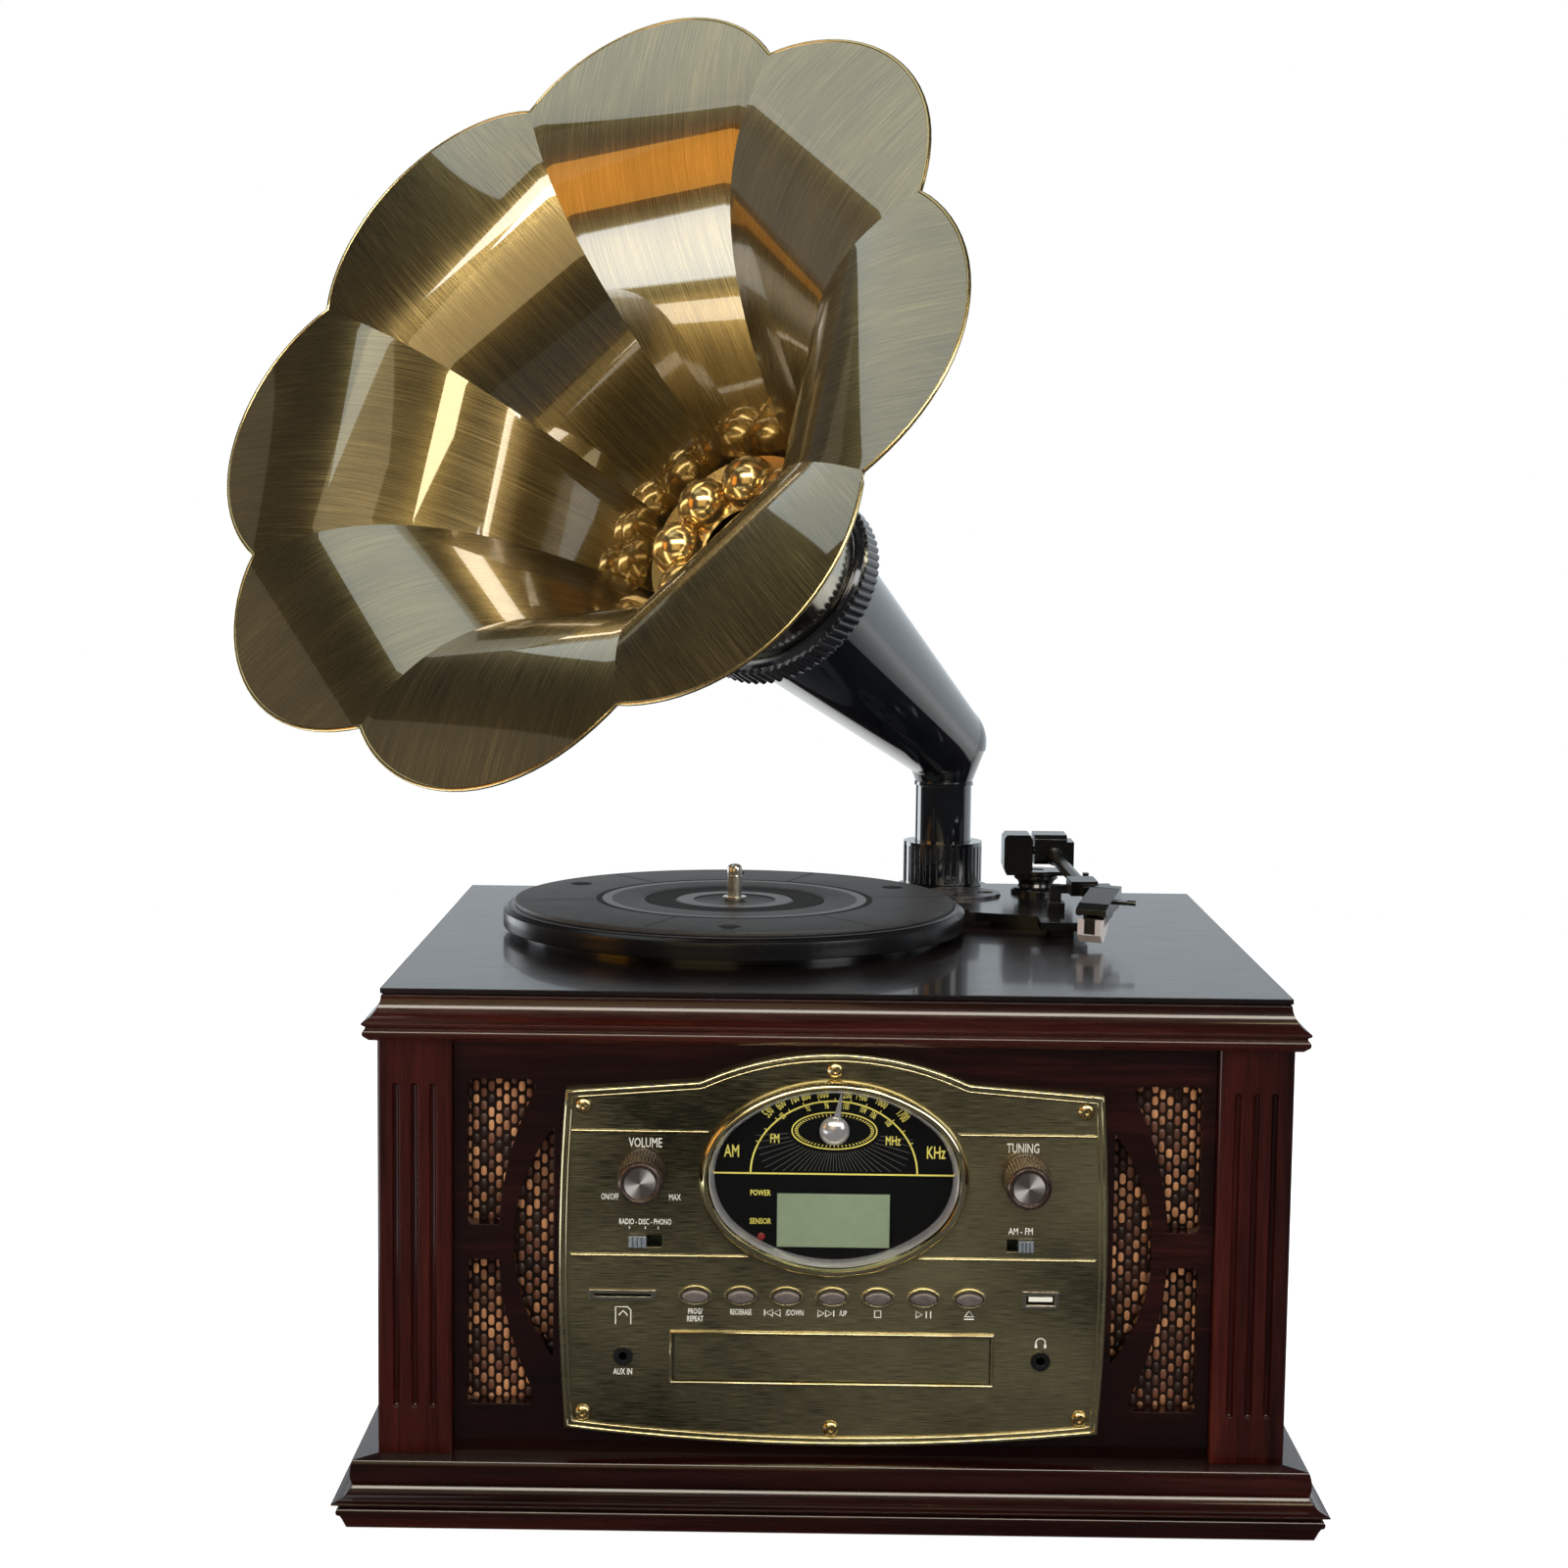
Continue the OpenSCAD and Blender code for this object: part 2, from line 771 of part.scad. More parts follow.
module control_board() {
    board_low = tray_z + door_h / 2 + 7.15;
    board_high = works_high - 4;
    root_y = pcb_y + pcb_t / 2;
    can_r = 8;
    color("#3f5a34")
    difference() {
        union() {
            block([-pcb_half, pcb_y, board_low], [pcb_half, pcb_y + pcb_t, board_high]);
            for (x = [-1, 1], z = [board_low + 30, board_high - 5])
                rod_y(x * (pcb_half - 4), z, 2.5, panel_y, root_y);
            for (x = [-knob_x, knob_x]) rod_y(x, knob_z, can_r, pcb_y - 8, root_y);
            for (i = [0:button_count - 1])
                translate([(i - (button_count - 1) / 2) * button_pitch - 3, panel_y + 2.2, button_z - 3])
                    cube([6, root_y - panel_y - 2.2, 6]);
            block([function_x - 3, panel_y + 4.2, switch_z - 4],
                  [function_x + slider_w + slider_travel + 3, root_y, switch_z + 4]);
            block([band_x - band_w - band_travel - 3, panel_y + 4.2, switch_z - 4],
                  [band_x + 3, root_y, switch_z + 4]);
            rod_y(lamp_x, lamp_z, 1.5, panel_y - 0.2, root_y);
            rod_y(0, pointer_z, 4, pcb_y - 8, root_y);
            block([20, root_y, board_low + 20], [60, pcb_y + pcb_t + 18, board_low + 55]);
            for (x = [-60, -40, -20]) rod_y(x, board_low + 30, 6, root_y, pcb_y + pcb_t + 20);
        }
        for (x = [-knob_x, knob_x]) rod_y(x, knob_z, knob_shaft_r + run, pcb_y - 9, pcb_y - 1);
        rod_y(0, pointer_z, 1.5 + run, pcb_y - 9, pcb_y - 1);
    }
}

module transformer() {
    x = 68 - side_in;
    y = 80;
    color("#777777")
    union() {
        block([x - 28, y - 24, floor_z], [x + 28, y + 24, floor_z + 3]);
        block([x - 22, y - 16, floor_z + 3], [x + 22, y + 16, floor_z + 44]);
        difference() {
            block([x - 15, y - 25, floor_z + 9], [x + 15, y + 25, floor_z + 38]);
            block([x - 14, y - 16, floor_z + 10], [x + 14, y + 16, floor_z + 37]);
        }
    }
}

module rear_sockets() {
    back_y = body_d / 2 - 1;
    z = base_h + 45;
    color("#222222")
    union() {
        for (x = [54 - side_in, 82 - side_in])
            difference() {
                union() {
                    rod_y(x, z, 6.8, back_y, back_y + 0.6);
                    rod_y(x, z, 5, back_y - back_t - 6, back_y);
                    rod_y(x, z, 4.2, back_y, back_y + 0.9);
                }
                rod_y(x, z, 1.6, back_y - 6, back_y + 2);
            }
        difference() {
            union() {
                rod_y(side_in - 58, z, 9, back_y, back_y + 0.8);
                rod_y(side_in - 58, z, 7, back_y - back_t - 4, back_y);
            }
            rod_y(side_in - 58, z, 3.6, back_y - 20, back_y + 2);
        }
    }
}

// Disc player

module disc_loader() {
    half = tray_w / 2 + slip + loader_wall;
    low = tray_z - door_h / 2 - 1;
    high = tray_z + door_h / 2 + 3;
    front = panel_y + door_t - plate_t + 1;
    color("#b9bcc0")
    difference() {
        union() {
            block([-half, front, low], [half, front + loader_len, high]);
            for (x = [-half + 8, half - 8], y = [front + 25, front + loader_len - 15])
                translate([x, y, floor_z]) cylinder(r = 5, h = low - floor_z);
        }
        block([-half + loader_wall, front - 1, low + loader_wall],
              [half - loader_wall, front + loader_len - loader_wall, high - loader_wall]);
    }
    color("#888888")
        translate([0, front + 62, low + loader_wall]) cylinder(r = 16, h = 2.4);
}

module disc_tray() {
    low = tray_z - door_h / 2 + 5;
    back = plate_y + door_t + tray_len;
    color("#26262a")
    difference() {
        block([-tray_w / 2, plate_y + door_t, low], [tray_w / 2, back, low + tray_t]);
        translate([0, plate_y + door_t + disc_r + 4, low + tray_t - 2.4]) cylinder(r = disc_r, h = 4);
        translate([0, plate_y + door_t + disc_r + 4, low - 1]) cylinder(r = 19, h = tray_t + 2);
        block([-19, plate_y + door_t + disc_r + 4, low - 1], [19, back - 10, low + tray_t + 1]);
    }
}

module tray_door() {
    color("#6f6135")
        block([-door_w / 2, plate_y, tray_z - door_h / 2],
              [door_w / 2, plate_y + door_t, tray_z + door_h / 2]);
}

// Turntable

// Outline of the raised deck plate
module deck_outline() {
    back_y = 131;
    difference() {
        union() {
            polygon([
                [45, back_y], [120, back_y], [120, -2], [98, -2], [98, 18], [69, 28], [45, 28]
            ]);
            translate([horn_x, horn_y]) circle(collar_r + 3);
        }
        translate([spindle_x, spindle_y]) circle(deck_edge_r, $fn = fine);
    }
}

// The same outline drawn in, for the skirt that carries the plate
module deck_foot_outline() {
    difference() {
        union() {
            polygon([[50, 125], [114, 125], [114, 4], [103, 4], [103, 24], [76, 33], [50, 33]]);
            translate([horn_x, horn_y]) circle(collar_r - 2);
        }
        translate([spindle_x, spindle_y]) circle(base_disc_r - 2, $fn = fine);
    }
}

module turntable_deck() {
    rim_t = 3.2;
    color("#1b1b1d")
    difference() {
        union() {
            translate([spindle_x, spindle_y, board_z]) {
                cylinder(r = base_disc_r, h = base_disc_t, $fn = fine);
                cylinder(r = 8, h = hub_z);
            }
            translate([0, 0, board_z]) linear_extrude(base_disc_t) deck_foot_outline();
            translate([0, 0, board_z])
                linear_extrude(deck_h - deck_t)
                    difference() {
                        deck_foot_outline();
                        translate([spindle_x, spindle_y]) circle(deck_edge_r + 2, $fn = fine);
                    }
            translate([0, 0, deck_z - deck_t]) linear_extrude(deck_t) deck_outline();
            translate([0, 0, deck_z])
                linear_extrude(1.6)
                    intersection() {
                        deck_outline();
                        difference() {
                            translate([spindle_x, spindle_y]) circle(deck_edge_r + rim_t, $fn = fine);
                            translate([horn_x, horn_y]) circle(collar_r + 4);
                        }
                    }
            translate([horn_x, horn_y, board_z]) cylinder(r = socket_r, h = deck_h + socket_h);
            translate([spindle_x, spindle_y, board_z - 14]) cylinder(r = 8, h = 14);
        }
        translate([spindle_x, spindle_y, board_z - 13]) cylinder(r = spindle_r + run, h = 40);
        translate([motor_x, motor_y, board_z - 1]) cylinder(r = pulley_r + 1.5, h = base_disc_t + 2);
        translate([horn_x, horn_y, board_z - 1]) cylinder(r = spigot_r + run, h = 60);
        translate([adaptor_x, adaptor_y, deck_z - 2]) cylinder(r = adaptor_r + 0.5, h = 4);
    }
}

module spindle() {
    tip_z = board_z + mat_z + spindle_out;
    clip_z = board_z + mat_z + seat;
    color("#d0d0d0")
    translate([spindle_x, spindle_y, 0]) {
        translate([0, 0, board_z - 13]) cylinder(r = spindle_r, h = tip_z - spindle_r - board_z + 13);
        translate([0, 0, tip_z - spindle_r]) sphere(spindle_r);
        translate([0, 0, clip_z]) cylinder(r = spindle_r + 2.2, h = 0.8);
    }
}

module motor() {
    color("#9a9a9a")
    translate([motor_x, motor_y, board_z - motor_h])
        difference() {
            union() {
                cylinder(r = motor_r, h = motor_h);
                translate([0, 0, -4]) cylinder(r = 5, h = 4);
            }
            translate([0, 0, 4]) cylinder(r = 1 + run, h = motor_h);
        }
}

module motor_pulley() {
    flange = 0.9;
    color("#c0a060")
    translate([motor_x, motor_y, board_z]) {
        translate([0, 0, 4 - motor_h + seat]) cylinder(r = 1, h = motor_h - 1);
        translate([0, 0, 2.6]) cylinder(r = pulley_r + flange, h = flange);
        translate([0, 0, 2.6]) cylinder(r = pulley_r, h = 5.6);
        translate([0, 0, 7.6]) cylinder(r = pulley_r + flange, h = flange);
    }
}

// Closed outline of the belt at a distance off its two wheels
module belt_outline(off) {
    hull() {
        circle(drive_r + off);
        rotate(motor_turn) translate([motor_gap, 0]) circle(pulley_r + off);
    }
}

module drive_belt() {
    color("#111111")
    translate([spindle_x, spindle_y, board_z + 4.7])
        linear_extrude(2)
            difference() {
                belt_outline(0.8);
                belt_outline(0.1);
            }
}

module platter() {
    web_z = rim_top - 2;
    rim_in = platter_r - 3;
    color("#161618")
    translate([spindle_x, spindle_y, board_z])
        rotate_extrude($fn = fine)
            polygon([
                [spindle_r + run, hub_z + seat], [9, hub_z + seat], [9, web_z], [drive_r - 3, web_z],
                [drive_r - 3, rim_lift + 0.6], [drive_r, rim_lift + 0.6], [drive_r, web_z],
                [rim_in, web_z], [rim_in, rim_lift], [platter_r, rim_lift], [platter_r, rim_top - 0.4],
                [platter_r - 0.4, rim_top], [mat_r + 1.6, seat_z - 0.2], [mat_r + 1, seat_z],
                [spindle_r + run, seat_z]
            ]);
}

// Outline of the mat's section, from the spindle out
module mat_section() {
    polygon([
        [spindle_r + 1, 0], [mat_r, 0], [mat_r, mat_t - 0.4], [mat_r - 0.6, mat_t],
        [65, mat_t], [64.4, mat_t - 0.7], [63.6, mat_t - 0.7], [63, mat_t],
        [44, mat_t], [42, mat_t - 1], [28, mat_t - 1], [27, mat_t - 0.6],
        [20, mat_t - 0.6], [19, mat_t - 1], [spindle_r + 1, mat_t - 1]
    ]);
}

module platter_mat() {
    groove_count = 6;
    pad_count = 3;
    color("#1f1f22")
    translate([spindle_x, spindle_y, board_z + seat_z])
        difference() {
            union() {
                rotate_extrude($fn = fine) mat_section();
            }
            for (i = [0:groove_count - 1])
                rotate(i * 360 / groove_count)
                    translate([66, -0.6, mat_t - 0.5]) cube([mat_r - 74, 1.2, 1]);
            for (i = [0:pad_count - 1])
                rotate(30 + i * 360 / pad_count)
                    translate([88, 0, mat_t - 0.4])
                        difference() {
                            cylinder(r = 5.6, h = 1);
                            translate([0, 0, -1]) cylinder(r = 4.6, h = 3);
                        }
        }
}

module record_adaptor() {
    color("#8f9092")
    translate([adaptor_x, adaptor_y, deck_z - 2])
        difference() {
            cylinder(r = adaptor_r, h = 3.4);
            translate([0, 0, -1]) cylinder(r = 3.7, h = 6);
            for (i = [0:2])
                rotate(i * 120) translate([11.5, 0, -1]) cylinder(r = 4, h = 6);
        }
}

// Tonearm

module arm_base() {
    color("#1a1a1c")
    translate([pivot_x, pivot_y, deck_z])
        rotate_extrude()
            polygon([
                [0, 0], [12.6, 0], [12.6, 1.8], [11.4, 2.8], [9.2, 3.4], [8.6, 5],
                [9.4, 6.4], [yoke_r, 7.6], [yoke_r, yoke_z - deck_z - seat - 0.3],
                [yoke_r - 0.5, yoke_z - deck_z - seat], [4 - run, yoke_z - deck_z - seat],
                [4 - run, yoke_z - deck_z + 1.6], [0, yoke_z - deck_z + 1.6]
            ]);
}

module arm_rest() {
    reach = 3.5;
    rest_x = pivot_x + block_x + tube_root + rest_gap * sin(arm_yaw);
    rest_y = pivot_y - rest_gap;
    cradle_z = pivot_z - 1 - tube_r - (rest_gap + reach) * sin(arm_droop) - seat;
    color("#151517")
    translate([rest_x, rest_y, 0]) {
        block([-12.5, -reach - 1.5, deck_z], [-4.5, reach + 1.5, deck_z + 4]);
        block([-11.5, -reach, deck_z], [-6.2, reach, cradle_z]);
        block([-7, -2.2, cradle_z - 4], [7, 2.2, cradle_z]);
        block([4.4, -2.2, cradle_z - 4], [7, 2.2, cradle_z + 6]);
    }
}

// Outline of the yoke's left housing seen from the front, with its cut corners
module housing_outline() {
    polygon([[-17, 4], [-16, 1], [-2.6, 1], [-2.6, 18], [-4, 20.5], [-15.5, 20.5], [-17, 18.5]]);
}

module arm_yoke() {
    cheek_x = block_x + block_w / 2 + seat;
    low = yoke_z;
    color("#232326")
    translate([pivot_x, pivot_y, low])
        difference() {
            union() {
                cylinder(r = yoke_r, h = yoke_t);
                block([-17 + 1.5, -9, 0], [cheek_x + 3.4, 9, yoke_t]);
                upright(10, 20) housing_outline();
                block([cheek_x, -8, 0], [cheek_x + 3.4, 10, 17]);
                translate([-4, 0, pivot_z - low])
                    rotate([0, 90, 0])
                        cylinder(r = pin_r, h = cheek_x + 5);
            }
            translate([0, 0, -1]) cylinder(r = 4 + run, h = 3);
        }
}

// Frame of the resting arm: its Y axis runs back along the tube
module arm_frame() {
    translate([pivot_x + block_x, pivot_y, pivot_z])
        rotate([arm_droop, 0, arm_yaw])
            children();
}

// Frame of the headshell at the tube's front end
module shell_frame() {
    arm_frame()
        translate([shell_side, -tube_len - shell_gap, 0])
            rotate([0, 0, shell_yaw])
                children();
}

module tonearm() {
    color("#1c1c1f") {
        difference() {
            translate([pivot_x + block_x, pivot_y, pivot_z])
                rotate([90, 0, 90])
                    linear_extrude(block_w - seat, center = true)
                        polygon([
                            [-block_l, -4], [-block_l + 3, -6], [block_l - 4, -6], [block_l, -2],
                            [block_l, 6.5], [block_l - 2.5, 9], [-block_l + 2, 9], [-block_l, 7]
                        ]);
            translate([pivot_x - 20, pivot_y, pivot_z])
                rotate([0, 90, 0])
                    cylinder(r = pin_r + run, h = 60);
        }
        arm_frame() {
            translate([tube_root, -6, -1]) rotate([90, 0, 0]) cylinder(r1 = 5.2, r2 = 4, h = 9);
            translate([tube_root, -6, -1]) rotate([90, 0, 0]) cylinder(r = tube_r, h = tube_len - 14);
            block([-5.6, -tube_len, -4.4], [7.2, -tube_len + 13, 2.6]);
            block([-1, -tube_len - 6, -4], [13, -tube_len + 3, 1.2]);
        }
        shell_frame() block([-6, shell_back, -4], [6, shell_back + 6, 1.6]);
    }
}

module headshell() {
    half = shell_w / 2;
    color("#202023")
    shell_frame()
        difference() {
            union() {
                upright_side(half);
                block([half - 2, -22, -1.6], [half + 6, -17, 0]);
                translate([half + 6, -19.5, -0.8]) rotate([0, 90, 0]) cylinder(r = 1.2, h = 4);
            }
            block([-half + 1.4, -shell_len + 3, -9], [half - 1.4, -6, -2.4]);
        }
}

// Side profile of the headshell, swept over its width
module upright_side(half) {
    rotate([90, 0, 90])
        linear_extrude(2 * half, center = true)
            polygon([
                [shell_back - run, -4], [shell_back - run, 1.4], [-6, 2.2],
                [-shell_len + 8, 0.8], [-shell_len, -0.6],
                [-shell_len, -3], [-shell_len + 6, -5], [-8, -6]
            ]);
}

module cartridge() {
    color("#141416")
    shell_frame() {
        block([-4.8, -shell_len + 8, -9.6], [4.8, -shell_len + 32, -2.6]);
        block([-2.3, -shell_len - 1.4, -11.5], [2.3, -shell_len + 8, -4 - seat]);
    }
}

module stylus_guard() {
    half = 5.4;
    front = -shell_len - 2.6;
    color("#e8e2df")
    shell_frame()
        difference() {
            rotate([90, 0, 90])
                linear_extrude(2 * half, center = true)
                    polygon([
                        [front, -4.6], [front, -12], [front + 4, -16], [front + 9, -16.6],
                        [front + 22, -10.2], [front + 22, -9.9], [front + 8.4, -9.9], [front + 8.4, -6.2]
                    ]);
            block([-2.3 - seat, front - 1, -11.5 - seat], [2.3 + seat, front + 12, 0]);
        }
}

// Horn

// Frame of the horn: origin at the elbow's bend, Z along the horn's axis to its mouth
module horn_frame() {
    translate([horn_x, horn_y, bend_z])
        rotate([90 - horn_tilt, 0, -horn_yaw])
            children();
}

module horn_collar() {
    lip_h = 3;
    groove_count = 36;
    color("#202328")
    translate([horn_x, horn_y, deck_z + seat])
        difference() {
            cylinder(r = collar_r, h = collar_h);
            translate([0, 0, -1]) cylinder(r = socket_r + seat, h = collar_h - lip_h + 1);
            cylinder(r = stem_r + seat, h = collar_h + 1);
            for (i = [0:groove_count - 1])
                rotate(i * 360 / groove_count)
                    translate([collar_r + 0.25, 0, 2]) cylinder(r = 0.7, h = collar_h - 4, $fn = 24);
        }
}

// Solid elbow, drawn in by inset: stem, flared knee, ball and cone
module elbow_form(inset) {
    ball_r = 21.6;
    knee_h = 21;
    stem_z = deck_z + socket_h + seat;
    translate([horn_x, horn_y, stem_z]) cylinder(r = stem_r - inset, h = bend_z - knee_h + 1 - stem_z);
    translate([horn_x, horn_y, bend_z - knee_h])
        cylinder(r1 = stem_r - inset, r2 = ball_r - 1.2 - inset, h = knee_h - 5);
    translate([horn_x, horn_y, bend_z]) sphere(ball_r - inset);
    horn_frame() cylinder(r1 = ball_r - 0.15 - inset, r2 = elbow_r - inset, h = elbow_len);
}

module horn_elbow() {
    color("#15171b")
    difference() {
        union() {
            elbow_form(0);
            translate([horn_x, horn_y, board_z + 2]) cylinder(r = spigot_r, h = deck_h + socket_h);
            horn_frame() translate([0, 0, elbow_len]) cylinder(r = nut_bore_r - seat, h = 3);
            translate([horn_x, horn_y, bend_z - 22]) cylinder(r = stem_r + 0.8, h = 2);
        }
        elbow_form(elbow_wall);
        translate([horn_x, horn_y, board_z]) cylinder(r = spigot_r - elbow_wall, h = 40);
        horn_frame() translate([0, 0, elbow_len - 1]) cylinder(r = elbow_r - elbow_wall, h = 6);
    }
}

module ring_nut() {
    half = nut_half;
    rib_r = 2.1;
    rib_len = 11;
    rib_lean = 16;
    color("#17191d")
    horn_frame()
        translate([0, 0, ring_s])
            difference() {
                union() {
                    rotate_extrude()
                        polygon([
                            [nut_bore_r, -half], [ring_r - 3.6, -half], [ring_r - 2, -half + 2],
                            [ring_r - 2, half - 2], [ring_r - 3.6, half], [nut_bore_r, half]
                        ]);
                    for (i = [0:rib_count - 1])
                        rotate(i * 360 / rib_count)
                            translate([ring_r - rib_r, 0, 0])
                                rotate([rib_lean, 0, 0])
                                    cylinder(r = rib_r, h = rib_len, center = true, $fn = 24);
                }
                cylinder(r = nut_bore_r, h = 4 * half, center = true);
            }
}

module horn_neck() {
    start = elbow_len + 3;
    nut_end = ring_s + nut_half + seat;
    flange_r = nut_bore_r - seat;
    wide_r = bell_r(neck_end) + bell_t + 0.2;
    color("#b9b7a6")
    horn_frame()
        difference() {
            union() {
                translate([0, 0, start]) cylinder(r = flange_r, h = nut_end - start);
                translate([0, 0, nut_end])
                    cylinder(r1 = flange_r, r2 = wide_r + 1.2, h = neck_end - nut_end);
            }
            translate([0, 0, start - 1]) cylinder(r = elbow_r - elbow_wall, h = bell_s0 - start);
            translate([0, 0, bell_s0 - 0.5]) cylinder(r = wide_r, h = neck_end - bell_s0 + 1);
        }
}

// Crease radius of the bell at a height along the axis
function bell_r(z) = edge_r - (edge_r - throat_r) * pow((bell_end - z) / bell_len, 1 / bell_flare);

// Height along the axis at which the bell's creases reach a radius
function bell_s(r) = bell_end - bell_len * pow((edge_r - r) / (edge_r - throat_r), bell_flare);

// Slope of the bell's section there
function bell_slope(r) =
    bell_len * bell_flare / (edge_r - throat_r) * pow((edge_r - r) / (edge_r - throat_r), bell_flare - 1);

// Point of one flat panel's section, moved out by the sheet's thickness
function bell_point(r, out) =
    let (k = bell_slope(r), f = cos(panel_half), l = sqrt(k * k + f * f))
    [r * f + out * k / l, bell_s(r) - out * f / l];

// Radius of the section's point number i, every second panel bends half a step earlier
function bell_step(i, early) =
    throat_r + (edge_r - throat_r) * (i % bell_steps == 0 ? i : i - early) / bell_steps;

// Section of two opposite panels, filled from one to the other
module bell_section(out, under, over, early) {
    side = [for (i = [0:bell_steps]) bell_point(bell_step(i, early), out)];
    whole = concat([side[0] - [0, under]], side, [[side[bell_steps][0], bell_end + over]]);
    n = len(whole);
    polygon(concat(whole, [for (i = [n - 1:-1:0]) [-whole[i][0], whole[i][1]]]));
}

// Eight-sided cup: the space that four pairs of panels share
module bell_cup(out, under, over) {
    intersection_for(k = [0:3])
        rotate(petal_turn + 45 * k)
            rotate([90, 0, 0])
                linear_extrude(3 * tip_r, center = true)
                    bell_section(out, under, over, k % 2 / 2);
}

// A point turned about the origin
function turned(p, a) = [p[0] * cos(a) - p[1] * sin(a), p[0] * sin(a) + p[1] * cos(a)];

// Scalloped outline of the mouth, one arc for each petal
function petal_outline() =
    let (half = atan2(notch_r * sin(panel_half), notch_r * cos(panel_half) - petal_c))
    [for (k = [0:7]) for (p = arc_on([petal_c, 0], petal_r, -half, half, 16)) turned(p, petal_turn + 45 * k)];

module horn_bell() {
    color("#8c7440")
    horn_frame()
        intersection() {
            difference() {
                bell_cup(bell_t, 0, 0);
                bell_cup(0, 3, 4);
            }
            translate([0, 0, bell_s0 - 1])
                linear_extrude(bell_len + 4)
                    polygon(petal_outline());
        }
}

module throat_domes() {
    disc_r = bell_r(dome_s - 3) * cos(panel_half) - 0.1;
    color("#c79a3e")
    horn_frame()
        difference() {
            union() {
                translate([0, 0, dome_s - 3]) cylinder(r = disc_r, h = 2);
                intersection() {
                    for (k = [0:7])
                        rotate(petal_turn + 45 * k) translate([dome_ring_r, 0, dome_s - 1.5]) sphere(dome_r);
                    translate([0, 0, dome_s - 3]) cylinder(r1 = disc_r, r2 = disc_r + 5, h = dome_r + 5);
                }
            }
            translate([0, 0, dome_s - 20]) cylinder(r = dome_ring_r - dome_r, h = 60);
        }
}

// Controls

// Knob at x with its ribbed skirt and its shaft
module knob(x) {
    rib_count = 40;
    root = plate_y - 0.4;
    color("#6e6256")
    translate([x, 0, knob_z])
        rotate([90, 0, 0]) {
            difference() {
                translate([0, 0, -root])
                    rotate_extrude()
                        polygon([
                            [0, 0], [knob_r + 0.5, 0], [knob_r + 0.5, 5], [knob_r, 6],
                            [knob_r - 0.4, knob_out - 2],
                            [knob_r - 1.6, knob_out], [knob_r - 2.4, knob_out - 0.5], [0, knob_out - 0.5]
                        ]);
                for (i = [0:rib_count - 1])
                    rotate(i * 360 / rib_count)
                        translate([knob_r + 0.45, 0, -root + 6])
                            cylinder(r = 0.6, h = knob_out - 8, $fn = 16);
            }
            translate([0, 0, -pcb_y + 2]) cylinder(r = knob_shaft_r, h = pcb_y - plate_y);
        }
}

module volume_knob() {
    knob(-knob_x);
}

module tuning_knob() {
    knob(knob_x);
}

module dial_pointer() {
    boss_r = 6.3;
    boss_h = 3.4;
    dome = (boss_r * boss_r + boss_h * boss_h) / (2 * boss_h);
    axis_z = pointer_z;
    lean = -10;
    color("#d5d5d5")
    translate([0, panel_y - seat, axis_z])
        rotate([90, 0, 0]) {
            intersection() {
                translate([0, 0, boss_h - dome]) sphere(dome);
                cylinder(r = boss_r, h = boss_h);
            }
            rotate(lean) linear_extrude(0.9) polygon([[-2, 0], [2, 0], [0.4, 16], [-0.4, 16]]);
            translate([0, 0, -pcb_y + panel_y + 1.5]) cylinder(r = 1.5, h = pcb_y - panel_y - 1);
        }
}

// Sliding switch cap with its finger ribs, from its left edge
module slider(x, w) {
    low = switch_z - slider_h / 2;
    color("#8f969c")
    difference() {
        block([x, plate_y - 2.6, low], [x + w, panel_y + 4.2 - seat, low + slider_h]);
        for (i = [1:3])
            block([x + i * w / 4 - 0.35, plate_y - 3, low - 1],
                  [x + i * w / 4 + 0.35, plate_y - 1.9, low + slider_h + 1]);
    }
}

module function_slider() {
    slider(function_x, slider_w);
}

module band_slider() {
    slider(band_x - band_w, band_w);
}

// Push button number i, counted from the left
module button(i) {
    rear = panel_y + 2.2 - button_travel - seat;
    color("#6b5f4a")
    translate([(i - (button_count + 1) / 2) * button_pitch, 0, 0]) {
        upright(rear, rear - plate_y + 2.1)
            translate([0, button_z]) oval(button_a, button_b, 8);
        upright(rear, rear - panel_y - seat)
            translate([0, button_z]) oval(button_a + 1, button_b + 1, 8);
    }
}

plinth();
bottom_board();
side_panel_left();
side_panel_right();
pilaster_left();
pilaster_right();
front_panel();
back_panel();
cornice();
top_board();
grille_cloths();
loudspeakers();
faceplate();
faceplate_screws();
dial_bezel();
dial_plate();
dial_glass();
display();
card_slot();
usb_socket();
jack_sockets();
control_board();
transformer();
rear_sockets();
disc_loader();
disc_tray();
tray_door();
turntable_deck();
spindle();
motor();
drive_belt();
motor_pulley();
platter();
platter_mat();
record_adaptor();
arm_base();
arm_rest();
arm_yoke();
tonearm();
headshell();
cartridge();
stylus_guard();
horn_collar();
horn_elbow();
ring_nut();
horn_neck();
throat_domes();
horn_bell();
volume_knob();
tuning_knob();
dial_pointer();
function_slider();
band_slider();
button(1);  // button_1
button(2);  // button_2
button(3);  // button_3
button(4);  // button_4
button(5);  // button_5
button(6);  // button_6
button(7);  // button_7
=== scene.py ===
"""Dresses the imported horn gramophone: finishes, fine meshes, studio and camera.

Sizes of pieces are in millimetres; lamps and finishes are in metres.
"""
import logging
import math
import random
from dataclasses import dataclass, field
from enum import Enum
from typing import Callable, Optional, Sequence, Union

import bpy
from mathutils import Matrix, Vector


